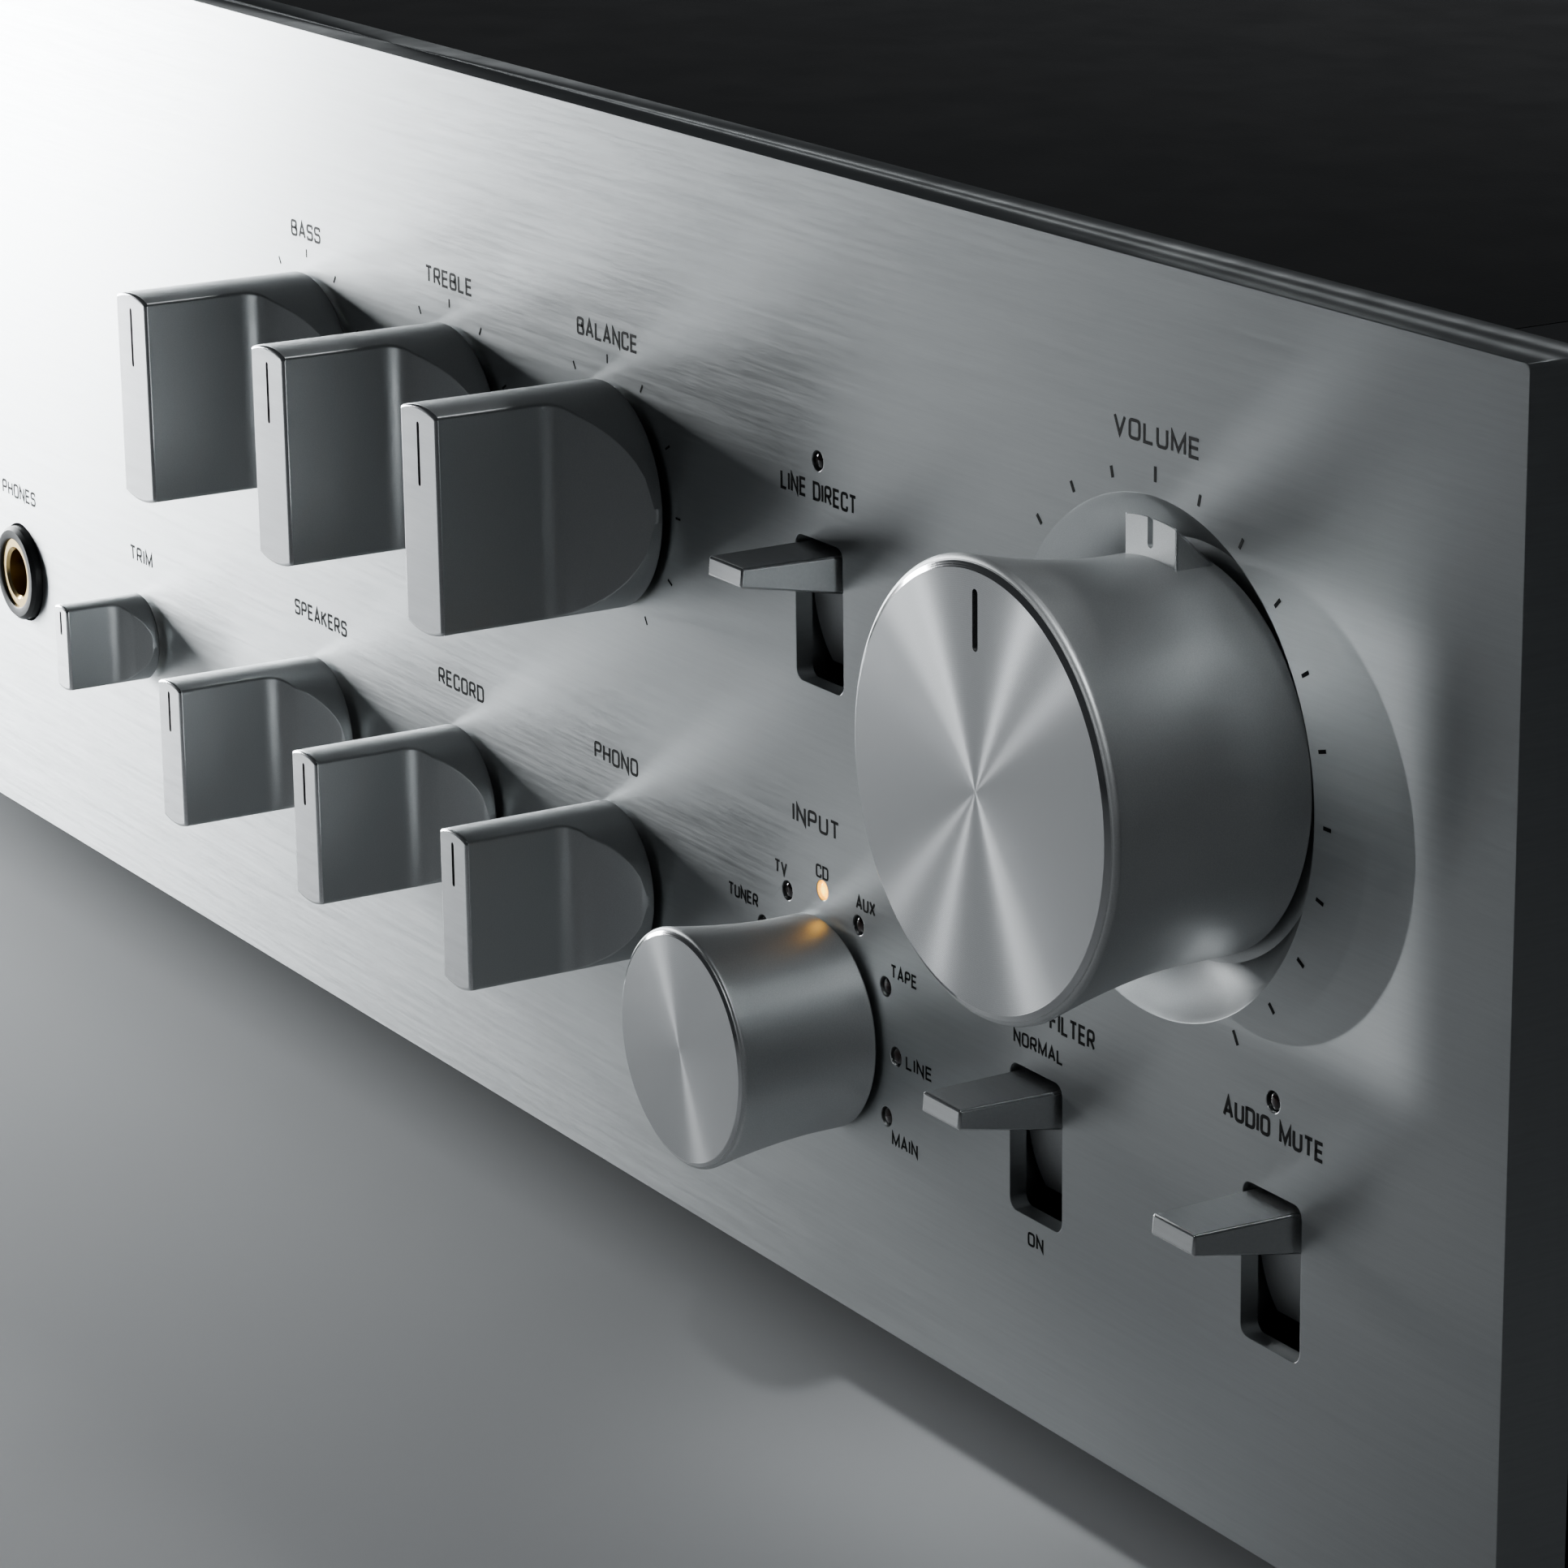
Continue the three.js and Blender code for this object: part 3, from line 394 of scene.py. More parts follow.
def turned(profile, steps=96, bands=None, closed=False, ridges=0, ridge_depth=0.0):
    """A body of revolution about Y; profile points are (radius, y). Ridges scallop its widest part."""
    mesh_data = bmesh.new()
    rings = []
    widest = max(radius for radius, _ in profile)
    for radius, y in profile:
        if radius == 0:
            rings.append([mesh_data.verts.new((0, y, 0))])
            continue
        ring = []
        for k in range(steps):
            a = 2 * math.pi * k / steps
            scallop = ridge_depth * (1 - math.cos(ridges * a)) / 2 if radius > 0.9 * widest else 0
            r = radius - scallop
            ring.append(mesh_data.verts.new((r * math.sin(a), y, r * math.cos(a))))
        rings.append(ring)
    bridged(mesh_data, rings, bands, closed)
    return mesh_data


def gathered(*groups):
    """One mesh with a copy of each group's mesh, which it uses up, at each of the group's places."""
    made = bmesh.new()
    for mesh_data, places in groups:
        single = bpy.data.meshes.new("single")
        mesh_data.to_mesh(single)
        mesh_data.free()
        for place in places:
            before = len(made.verts)
            made.from_mesh(single)
            made.verts.ensure_lookup_table()
            bmesh.ops.translate(made, verts=made.verts[before:], vec=place)
        bpy.data.meshes.remove(single)
    return made


def placed(piece, body, slot, *replaced):
    """Hangs a piece on the body it rides on, and hides the CAD nodes that it stands for; slot is not used."""
    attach(piece, body)
    if replaced:
        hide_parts(*replaced)
    return piece


def fixed(name, mesh_data, finish_and_slot, *replaced, place=ORIGIN, edges=None, angle=30.0):
    """A piece of the chassis with one finish; edges are the width and segments of its rounded edges."""
    made, slot = finish_and_slot
    piece = finished(name, mesh_data, [made], place)
    if edges:
        rounded_edges(piece, *edges, angle=angle)
    return placed(piece, "chassis", slot, *replaced)


ALONG = {
    "X": lambda a, b, c: (c, a, b),
    "Y": lambda a, b, c: (a, c, b),
    "Z": lambda a, b, c: (a, b, c),
}


def plate(loops, low, high, axis="Y"):
    """A flat plate from low to high along the axis; the first loop is its edge and the others are holes."""
    order = ALONG[axis]
    mesh_data = bmesh.new()
    edges = []
    for loop in loops:
        verts = [mesh_data.verts.new(order(a, b, low)) for a, b in loop]
        edges += [mesh_data.edges.new(pair) for pair in zip(verts, verts[1:] + verts[:1])]
    filled = bmesh.ops.triangle_fill(mesh_data, use_beauty=True, use_dissolve=False, edges=edges)
    faces = [g for g in filled["geom"] if isinstance(g, bmesh.types.BMFace)]
    grown = bmesh.ops.extrude_face_region(mesh_data, geom=faces)
    moved = [g for g in grown["geom"] if isinstance(g, bmesh.types.BMVert)]
    bmesh.ops.translate(mesh_data, verts=moved, vec=order(0, 0, high - low))
    return mesh_data


def in_order(mesh_data):
    """The mesh built anew in the order of its points, because filling an outline orders it anew each run."""
    faces = [[tuple(v.co) for v in face.verts] for face in mesh_data.faces]
    mesh_data.free()
    starts = [face.index(min(face)) for face in faces]
    faces = sorted(face[k:] + face[:k] for face, k in zip(faces, starts))
    made = bmesh.new()
    verts = {point: made.verts.new(point) for point in sorted({p for face in faces for p in face})}
    for face in faces:
        made.faces.new([verts[point] for point in face])
    return made


def merged(mesh_data):
    """Joins the flat faces that meet along needless edges."""
    made = in_order(mesh_data)
    bmesh.ops.dissolve_limit(made, angle_limit=0.01, verts=made.verts, edges=made.edges)
    return made


def box(x0, x1, y0, y1, z0, z1):
    return plate([[(x0, z0), (x1, z0), (x1, z1), (x0, z1)]], y0, y1)


def circle(radius, a=0.0, b=0.0, steps=48):
    angles = [2 * math.pi * k / steps for k in range(steps)]
    return [(a + radius * math.cos(t), b + radius * math.sin(t)) for t in angles]


def arc(a, b, radius, start, end, steps):
    """Points of an arc from start to end, in degrees."""
    angles = [math.radians(start + (end - start) * k / steps) for k in range(steps + 1)]
    return [(a + radius * math.cos(t), b + radius * math.sin(t)) for t in angles]


def rounded(width, height, corner, a=0.0, b=0.0, steps=6):
    """A rectangle with round corners, centred on (a, b)."""
    u = width / 2 - corner
    v = height / 2 - corner
    quarters = [(u, -v, -90), (u, v, 0), (-u, v, 90), (-u, -v, 180)]
    return [p for x, y, start in quarters for p in arc(a + x, b + y, corner, start, start + 90, steps)]


def curve_points(start, bend, end, steps):
    """Points of a quadratic curve from start to end, drawn towards bend."""
    made = []
    for k in range(steps + 1):
        t = k / steps
        shares = ((1 - t) ** 2, 2 * t * (1 - t), t * t)
        made.append(tuple(sum(f * v for f, v in zip(shares, axis)) for axis in zip(start, bend, end)))
    return made


# ---- Faceplate ----

KNOBS = ["bass", "treble", "balance", "speakers", "record", "phono", "trim"]
LEVERS = ["power", "direct", "subsonic", "mute"]
KNOB_HOLE = 4.2
LAMP_HOLE = 1.1
SLOT_WIDTH = 9.4
SLOT_HEIGHT = 15.8
SLOT_CORNER = 1.2
SLOT_SKIN = 2.0
PIVOT_TO_SWITCH_BACK = 13.0
PIVOT_DROP = 5.25  # below a slot's top edge
POCKET = (13.6, 34.0)
DISH_RIM = 25.4
DISH_FLOOR = 20.6
DISH_DEPTH = 5.2
DISH_HOLLOW = 0.7
RIM_CHAMFER = 0.14
INDICATOR_RADIUS = 14.4
INDICATOR_ANGLES = range(-30, 211, 30)
LIT_INDICATOR = 90
PHONES_HOLE = 6.9
EDGE = 0.35


def pivot_of(name):
    """The pivot of a lever, from its switch housing."""
    low, high = corners(f"{name}_switch")
    return Vector(((low.x + high.x) / 2, high.y - PIVOT_TO_SWITCH_BACK, (low.z + high.z) / 2))


def lamp_places():
    power = middle("power_led")
    return {
        "power": (power.x, power.z),
        "direct": (INPUT.x, power.z),
        "mute": (pivot_of("mute").x, VOLUME.z - 28.5),
    }


def indicator_places():
    made = []
    for degrees in INDICATOR_ANGLES:
        t = math.radians(degrees)
        x = INPUT.x + INDICATOR_RADIUS * math.cos(t)
        z = INPUT.z + INDICATOR_RADIUS * math.sin(t)
        made.append((degrees, x, z))
    return made


def front_panel():
    width = panel_high.x - panel_low.x
    height = panel_high.z - panel_low.z
    phones = middle("headphone_jack")
    loops = [rounded(width, height, 0.6, 0, (panel_low.z + panel_high.z) / 2, 3)]
    for name in KNOBS:
        knob = middle(f"{name}_knob")
        loops.append(circle(KNOB_HOLE, knob.x, knob.z, 32))
    loops.append(circle(KNOB_HOLE, INPUT.x, INPUT.z, 32))
    for x, z in lamp_places().values():
        loops.append(circle(LAMP_HOLE, x, z, 24))
    for _, x, z in indicator_places():
        loops.append(circle(LAMP_HOLE, x, z, 24))
    for name in LEVERS:
        pivot = pivot_of(name)
        top = pivot.z + PIVOT_DROP
        loops.append(rounded(SLOT_WIDTH, SLOT_HEIGHT, SLOT_CORNER, pivot.x, top - SLOT_HEIGHT / 2))
    loops.append(circle(PHONES_HOLE, phones.x, phones.z, 48))
    piece = finished("faceplate", plate(loops, FRONT, PANEL_BACK), [panel_finish, dish_finish])
    rounded_edges(piece, EDGE, 3)
    settled(piece)
    bowl = [
        (DISH_RIM + RIM_CHAMFER, 0),
        (DISH_RIM, RIM_CHAMFER),
        *curve_points(
            (DISH_RIM, RIM_CHAMFER),
            ((DISH_RIM + DISH_FLOOR) / 2 + DISH_HOLLOW, DISH_DEPTH / 2 + DISH_HOLLOW),
            (DISH_FLOOR, DISH_DEPTH),
            10,
        )[1:],
    ]
    profile = [(0, -1), (DISH_RIM + RIM_CHAMFER, -1), *bowl, (KNOB_HOLE, DISH_DEPTH), (KNOB_HOLE, 9), (0, 9)]
    cut_away(piece, finished("dish_cutter", turned(profile, 160), [dish_finish], (VOLUME.x, FRONT, VOLUME.z)))
    half_width, half_height = POCKET[0] / 2, POCKET[1] / 2
    for name in LEVERS:
        x, _, z = pivot_of(name)
        across, up = (x - half_width, x + half_width), (z - half_height, z + half_height)
        pocket = box(*across, FRONT + SLOT_SKIN, PANEL_BACK + 1, *up)
        cut_away(piece, finished("pocket", pocket, [panel_finish]))
    flatter(placed(piece, "chassis", "front_aluminium", "front_panel"))


front_panel()


# ---- Volume and input knobs ----

FLARE_POWER = 1.7
FORM_PARTS = ("reach", "face", "rim", "edge", "base", "back", "flare")
VOLUME_FORM = dict(zip(FORM_PARTS, (20.1, 21.15, 21.75, 22.35, 19.7, 4.3, -2.0)))
INPUT_FORM = dict(zip(FORM_PARTS, (17.8, 12.2, 12.6, 12.95, 11.6, -0.5, -4.0)))
TURNED_FINISHES = [knob_finish, face_finish, rim_finish]
BEVEL_SLOPE = 0.55  # depth of the polished bevel round a knob's face, for each millimetre of its width
GROOVE_DEPTH = 0.45
PAINT = 0.05  # thickness of the paint in a groove
LUG = {"half": 4.2, "top": 23.7, "front": -0.5, "back": 3.9, "foot": 15.7}
NOTCH = {"half": 0.45, "depth": 0.6, "foot": 20.6}


def flared(reach, face, rim, edge, base, back, flare):
    """A knob whose blasted sides flare out to a rounded edge, a polished bevel and a spun face."""
    bevel = (rim - face) * BEVEL_SLOPE
    corner = edge - rim
    shoulder = arc(edge - corner, bevel + corner - reach + 0.1, corner, -80, -8, 4)
    start = shoulder[-1][1] + 0.2
    sides = []
    for k in range(15):
        rise = 1 - k / 14
        sides.append((base + (edge - base) * rise ** FLARE_POWER, flare + (start - flare) * rise))
    profile = [(0, -reach), (face, -reach), (rim, bevel - reach), *shoulder, *sides]
    profile += [(base, back - 0.3), (base - 0.3, back), (0, back)]
    return turned(profile, 160, [1, 2] + [0] * (len(profile) - 3))


def groove_outline(inner, outer, half):
    """An upright slot with round ends, from inner to outer above the axis."""
    return arc(0, outer - half, half, 0, 180, 10) + arc(0, inner + half, half, 180, 360, 10)


def marked(knob, name, front, inner, outer, half, place, sharp):
    """Cuts a groove in the knob's face and returns the paint that lies in it."""
    outline = groove_outline(inner, outer, half)
    depth = front + GROOVE_DEPTH
    cutter = finished("cutter", plate([outline], front - 1, depth), [edge_finish], place)
    cut_away(knob, cutter, sharp)
    return finished(name, plate([outline], depth - 2 * PAINT, depth + PAINT), [ink_finish], place)


def lug_mesh():
    """A wedge whose outer face follows the knob's round and slopes down to the back."""
    half, foot, front, back = LUG["half"], LUG["foot"], LUG["front"], LUG["back"]
    section = ((front, foot), (front, LUG["top"]), (back, VOLUME_FORM["base"]), (back, foot))
    mesh_data = bmesh.new()
    rings = []
    for k in range(25):
        x = half * (k / 12 - 1)
        points = [(x, y, math.sqrt(radius * radius - x * x)) for y, radius in section]
        rings.append([mesh_data.verts.new(point) for point in points])
    bridged(mesh_data, rings)
    mesh_data.faces.new(rings[0])
    mesh_data.faces.new(rings[-1])
    return mesh_data


def volume_knob():
    place = (VOLUME.x, FRONT, VOLUME.z)
    knob = finished("volume_knob_body", flared(**VOLUME_FORM), TURNED_FINISHES, place, 25)
    mark = marked(knob, "volume_mark", -VOLUME_FORM["reach"], 13.5, 19.5, 0.45, place, 25)
    lug = finished("volume_lug", lug_mesh(), [knob_finish, edge_finish], place)
    rounded_edges(lug, 0.2, 3, 1)
    settled(lug)
    outline = groove_outline(NOTCH["foot"], LUG["top"] + 4, NOTCH["half"])
    cutter = plate([outline], LUG["front"] - 1, LUG["front"] + NOTCH["depth"])
    cut_away(lug, finished("notch_cutter", cutter, [knob_finish], place))
    flatter(placed(knob, "volume", "knob_aluminium", "volume_knob"))
    placed(mark, "volume", "print_black")
    flatter(placed(lug, "volume", "knob_aluminium"))


def input_knob():
    place = (INPUT.x, FRONT, INPUT.z)
    knob = finished("input_knob_body", flared(**INPUT_FORM), TURNED_FINISHES, place, 25)
    flatter(placed(knob, "input", "knob_aluminium", "input_knob"))


volume_knob()
input_knob()


# ---- Grip knobs ----

GRIPS = [  # names, radius, reach, half the grip's width, fillet and rim
    (("bass", "treble", "balance"), 12.8, 23.6, 4.2, 8.8, 1.6),
    (("speakers", "record", "phono"), 9.2, 21.0, 3.2, 7.6, 1.5),
    (("trim",), 5.8, 12.0, 2.1, 4.4, 1.3),
]
KNOB_LIFT = 0.5


def grip_outline(radius, half, corner):
    """A circle cut off square half a width each side of its axis, with round corners."""
    half = min(half, radius * 0.998)
    centre_x = half - corner
    centre_z = math.sqrt(max((radius - corner) ** 2 - centre_x ** 2, 0))
    turn = math.degrees(math.atan2(centre_z, centre_x))
    quarter = [(half, centre_z * k / 4) for k in range(4)]
    quarter += arc(centre_x, centre_z, corner, 0, turn, 4)
    quarter += arc(0, 0, radius, turn, 90, 14)[1:]
    upper = quarter + [(-x, z) for x, z in reversed(quarter[:-1])]
    return upper + [(-x, -z) for x, z in upper[1:-1]]


def grip_knob(name, radius, reach, half, fillet, rim):
    corner, edge = 0.45, 0.4
    levels = []
    for k in range(4):
        t = math.radians(30 * k)
        inset = edge * (1 - math.sin(t))
        levels.append((-reach + edge * (1 - math.cos(t)), radius - inset, half - inset, corner - 0.9 * inset))
    slope = curve_points((half, -fillet - 2.4), (half, -fillet), (half + 2, -fillet + 0.9), 7)
    levels += [(y, radius, width, corner) for width, y in slope]
    last_width, last_y = slope[-1]
    steps = 9
    for k in range(1, steps + 1):
        t = k / steps
        levels.append((last_y + (-rim - last_y) * t, radius, last_width + (radius - last_width) * t, corner))
    levels += [(-KNOB_LIFT - 0.2, radius, radius, corner), (-KNOB_LIFT, radius - 0.2, radius, corner)]
    mesh_data = bmesh.new()
    rings = []
    for y, r, width, round_by in levels:
        rings.append([mesh_data.verts.new((x, y, z)) for x, z in grip_outline(r, width, round_by)])
    bands = [1, 1, 1] + [0] * (len(levels) - 4)
    bridged(mesh_data, rings, bands)
    mesh_data.faces.new(rings[0]).material_index = 2
    mesh_data.faces.new(rings[-1])
    x, _, z = middle(f"{name}_knob")
    place = (x, FRONT, z)
    finishes = [grip_finish, edge_finish, grip_face_finish]
    knob = finished(f"{name}_grip", mesh_data, finishes, place, 50)
    mark = marked(knob, f"{name}_mark", -reach, 0.3 * radius, 0.86 * radius, 0.3, place, 50)
    flatter(placed(knob, name, "grip_aluminium", f"{name}_knob"))
    placed(mark, name, "print_black")


for grip_names, *form in GRIPS:
    for grip_name in grip_names:
        grip_knob(grip_name, *form)


# ---- Levers ----

LEVER_TILT = 5.5  # degrees above level
TIP_REACH = 36.5
TIP = (6.8, 2.1)  # width and height
ROOT = (8.0, 4.7)
SHUTTER = {"radius": 22.1, "thickness": 1.2, "width": 12.0, "span": 32.0}
SHUTTER_SINK = 0.5  # how far the bat and the arm reach into the shutter
HUB_RADIUS = 4.0
HUB_WIDTH = 8.0
ARM_BACK = -1.0
PIVOT_BORE = 1.8


def along_x(outline, half):
    return plate(outline, -half, half, "X")


def lever(name):
    """A tapered bat on an arm and a hub, with a curved shutter that closes the slot behind it."""
    place = pivot_of(name)
    radius, span = SHUTTER["radius"], SHUTTER["span"]
    root = SHUTTER_SINK - radius
    mesh_data = bmesh.new()
    rings = []
    for (width, height), y in ((TIP, -TIP_REACH), (ROOT, root)):
        rectangle = rounded(width, height, 0.01, steps=1)
        rings.append([mesh_data.verts.new((x, y, z)) for x, z in rectangle])
    bridged(mesh_data, rings)
    mesh_data.faces.new(rings[0])
    mesh_data.faces.new(rings[1])
    bmesh.ops.remove_doubles(mesh_data, verts=mesh_data.verts, dist=0.05)
    bat = finished(f"{name}_lever_bat", mesh_data, [lever_finish, edge_finish], place)
    rounded_edges(bat, 0.28, 3, 1)
    settled(bat)
    flatter(bat)
    curve = arc(0, 0, radius, 180 - span, 180 + span, 24)
    curve += arc(0, 0, radius - SHUTTER["thickness"], 180 + span, 180 - span, 24)
    sheet = along_x([curve], SHUTTER["width"] / 2)
    shutter = finished(f"{name}_lever_shutter", sheet, [shutter_finish], place)
    rounded_edges(shutter, 0.2, 2)
    half, end = ROOT[1] / 2, root - SHUTTER_SINK
    side = [(end, -half), (ARM_BACK, -half), (ARM_BACK, half), (end, half)]
    arm = finished(f"{name}_lever_arm", along_x([side], HUB_WIDTH / 2), [plastic_finish], place)
    hub_sides = [circle(HUB_RADIUS), circle(PIVOT_BORE, steps=32)]
    hub = finished(f"{name}_lever_hub", along_x(hub_sides, HUB_WIDTH / 2), [plastic_finish], place)
    for moulding in (arm, hub):
        rounded_edges(moulding, 0.3, 2)
    for piece in (bat, shutter, arm, hub):
        piece.rotation_euler.x = -math.radians(LEVER_TILT)
    placed(bat, name, "lever_aluminium", f"{name}_lever")
    placed(shutter, name, "lever_aluminium")
    placed(arm, name, "black_plastic")
    placed(hub, name, "black_plastic")


for lever_name in LEVERS:
    lever(lever_name)


# ---- Lamps and the headphone socket ----

LENS_DEPTH = 0.05  # behind the faceplate's front
LENS_CROWN = 0.5
LENS_BACK = 2.6
RING_WIDTH = (13.2, 17.4)  # inner and outer radius
PHONES_FORM = {"bush": 6.6, "ring": 4.9, "bore": 3.3, "proud": 1.4, "box": 16.0, "back_wall": 4.0}


def lens(name, x, z, made, *replaced):
    crown = []
    for degrees in (25, 50, 75, 90):
        t = math.radians(degrees)
        crown.append((LENS_RADIUS * math.sin(t), LENS_DEPTH + LENS_CROWN * (1 - math.cos(t))))
    profile = [(0, LENS_DEPTH), *crown, (LENS_RADIUS, LENS_BACK), (0, LENS_BACK)]
    piece = finished(name, turned(profile, 32), [made], (x, FRONT, z), 40)
    placed(piece, "chassis", "lamp_lens", *replaced)


def lamps():
    for name, (x, z) in lamp_places().items():
        lens(f"{name}_lamp", x, z, unlit_finish, *(["power_led"] if name == "power" else []))
    for degrees, x, z in indicator_places():
        lens(f"input_lamp_{degrees + 30}", x, z, lit_finish if degrees == LIT_INDICATOR else unlit_finish)


def lamp_ring():
    """The board ring behind the input lamps, with a post to each."""
    back = corners("input_indicator_ring")[1].y
    front = corners("input_selector")[1].y
    inner, outer = RING_WIDTH
    ring = plate([circle(outer), circle(inner)], front, back)
    start, end, radius = LENS_BACK + 0.1, front - FRONT, 0.9
    post = turned([(0, start), (radius, start), (radius, end), (0, end)], 16)
    posts = [(x, FRONT, z) for _, x, z in indicator_places()]
    mesh_data = gathered((ring, [(INPUT.x, 0, INPUT.z)]), (post, posts))
    fixed("input_lamp_ring", mesh_data, (plastic_finish, "lamp_lens"), "input_indicator_ring")


def headphone_socket():
    form = PHONES_FORM
    bush, ring, bore, front = form["bush"], form["ring"], form["bore"], -form["proud"]
    centre = middle("headphone_jack")
    place = (centre.x, FRONT, centre.z)
    box_front = corners("input_selector")[0].y - FRONT
    box_back = corners("headphone_jack")[1].y - FRONT
    wall = box_back - form["back_wall"]
    profile = [(ring, front + 0.5), (ring, front + 0.1), (ring + 0.2, front), (bush - 0.5, front)]
    profile += [(bush, front + 0.5), (bush, box_front), (ring, box_front)]
    fixed("headphone_bush", turned(profile, 64, closed=True), MOULDED, "headphone_jack", place=place)
    profile = [(ring, front + 0.4), (bore + 0.4, front + 0.4), (bore, front + 0.8)]
    profile += [(bore, box_front), (ring, box_front)]
    fixed("headphone_liner", turned(profile, 64, closed=True), GILDED, place=place)
    size = form["box"]
    shell = gathered(
        (plate([rounded(size, size, 1.0), circle(bore, steps=32)], box_front, wall), [ORIGIN]),
        (plate([rounded(size - 0.8, size - 0.8, 0.8)], wall - 0.2, box_back), [ORIGIN]),
    )
    fixed("headphone_socket_body", shell, MOULDED, place=place)


lamps()
lamp_ring()
headphone_socket()


# ---- Print ----

INK = 0.03  # thickness


def ribbon(mesh_data, points, width, closed=False):
    """A flat stroke of even width along points (x, z), joined with mitres, whose back lies at Y = 0."""
    count = len(points)
    rings = []
    for k, point in enumerate(points):
        here = Vector(point)
        directions = []
        if k or closed:
            directions.append((here - Vector(points[k - 1])).normalized())
        if k < count - 1 or closed:
            directions.append((Vector(points[(k + 1) % count]) - here).normalized())
        along = sum(directions, Vector((0, 0))).normalized()
        across = Vector((-along.y, along.x))
        mitre = max(0.35, across.dot(Vector((-directions[0].y, directions[0].x))))
        left = here + across * width / 2 / mitre
        right = here - across * width / 2 / mitre
        section = ((left, -INK), (right, -INK), (right, 0), (left, 0))
        rings.append([mesh_data.verts.new((p.x, y, p.y)) for p, y in section])
    bridged(mesh_data, rings, None, closed)
    if not closed:
        mesh_data.faces.new(rings[0])
        mesh_data.faces.new(rings[-1])


def softened(points, radius, closed=False):
    """The same line with its corners rounded."""
    if radius == 0:
        return points
    made = []
    count = len(points)
    for k, point in enumerate(points):
        if not closed and k in (0, count - 1):
            made.append(point)
            continue
        here, before, after = Vector(point), Vector(points[k - 1]), Vector(points[(k + 1) % count])
        reach = min(radius, (before - here).length / 2, (after - here).length / 2)
        start = here + (before - here).normalized() * reach
        end = here + (after - here).normalized() * reach
        made += curve_points(tuple(start), tuple(here), tuple(end), 4)
    return made


# Each letter: its width, its corner radius and its strokes, all as shares of the letters' height.
# A stroke that ends where it starts is a closed loop.
LETTERS = {
    "A": (0.62, 0.0, [[(0, 0), (0.31, 1), (0.62, 0)], [(0.12, 0.3), (0.5, 0.3)]]),
    "B": (0.56, 0.2, [
        [(0.3, 0.52), (0.52, 0.52), (0.52, 1), (0, 1), (0, 0), (0.56, 0), (0.56, 0.52), (0.3, 0.52)],
        [(0, 0.52), (0.4, 0.52)],
    ]),
    "C": (0.54, 0.24, [[(0.54, 0.74), (0.54, 1), (0, 1), (0, 0), (0.54, 0), (0.54, 0.26)]]),
    "D": (0.58, 0.24, [[(0, 1), (0.58, 1), (0.58, 0), (0, 0)], [(0, -0.09), (0, 1.09)]]),
    "E": (0.5, 0.0, [[(0.5, 1), (0, 1), (0, 0), (0.5, 0)], [(0, 0.52), (0.46, 0.52)]]),
    "F": (0.5, 0.0, [[(0.5, 1), (0, 1), (0, 0)], [(0, 0.52), (0.44, 0.52)]]),
    "H": (0.56, 0.0, [[(0, 0), (0, 1)], [(0.56, 0), (0.56, 1)], [(0, 0.52), (0.56, 0.52)]]),
    "I": (0.0, 0.0, [[(0, 0), (0, 1)]]),
    "K": (0.54, 0.0, [[(0, 0), (0, 1)], [(0.52, 1), (0, 0.45)], [(0.16, 0.6), (0.54, 0)]]),
    "L": (0.48, 0.0, [[(0, 1), (0, 0), (0.48, 0)]]),
    "M": (0.74, 0.0, [[(0, 0), (0, 1), (0.37, 0.1), (0.74, 1), (0.74, 0)]]),
    "N": (0.58, 0.0, [[(0, 0), (0, 1), (0.58, 0), (0.58, 1)]]),
    "O": (0.58, 0.24, [[(0, 0.5), (0, 1), (0.58, 1), (0.58, 0), (0, 0), (0, 0.5)]]),
    "P": (0.54, 0.22, [[(0, 0), (0, 1), (0.54, 1), (0.54, 0.46), (0, 0.46)]]),
    "R": (0.56, 0.22, [[(0, 0), (0, 1), (0.54, 1), (0.54, 0.46), (0, 0.46)], [(0.28, 0.46), (0.56, 0)]]),
    "S": (0.54, 0.22, [
        [(0.54, 0.78), (0.54, 1), (0, 1), (0, 0.53), (0.54, 0.53), (0.54, 0), (0, 0), (0, 0.22)],
    ]),
    "T": (0.54, 0.0, [[(0, 1), (0.54, 1)], [(0.27, 0), (0.27, 1)]]),
    "U": (0.56, 0.24, [[(0, 1), (0, 0), (0.56, 0), (0.56, 1)]]),
    "V": (0.6, 0.0, [[(0, 1), (0.3, 0), (0.6, 1)]]),
    "W": (0.84, 0.0, [[(0, 1), (0.2, 0), (0.42, 0.9), (0.64, 0), (0.84, 1)]]),
    "X": (0.58, 0.0, [[(0, 0), (0.58, 1)], [(0, 1), (0.58, 0)]]),
    " ": (0.3, 0.0, []),
}


def text_width(words, gap):
    return sum(LETTERS[c][0] for c in words) + gap * (len(words) - 1)


def write(mesh_data, words, x, z, width, height, stroke):
    """Prints words centred on (x, z); the letters are spread or narrowed to fill the width."""
    gap = 0.3
    inner = height - stroke
    squeeze = (width - stroke) / (text_width(words, gap) * inner)
    pen = x - (width - stroke) / 2
    for character in words:
        letter_width, radius, strokes = LETTERS[character]
        for line in strokes:
            closed = line[0] == line[-1]
            points = [(a * inner * squeeze, b * inner) for a, b in (line[:-1] if closed else line)]
            points = softened(points, radius * inner, closed)
            ribbon(mesh_data, [(pen + a, z - inner / 2 + b) for a, b in points], stroke, closed)
        pen += (letter_width + gap) * inner * squeeze


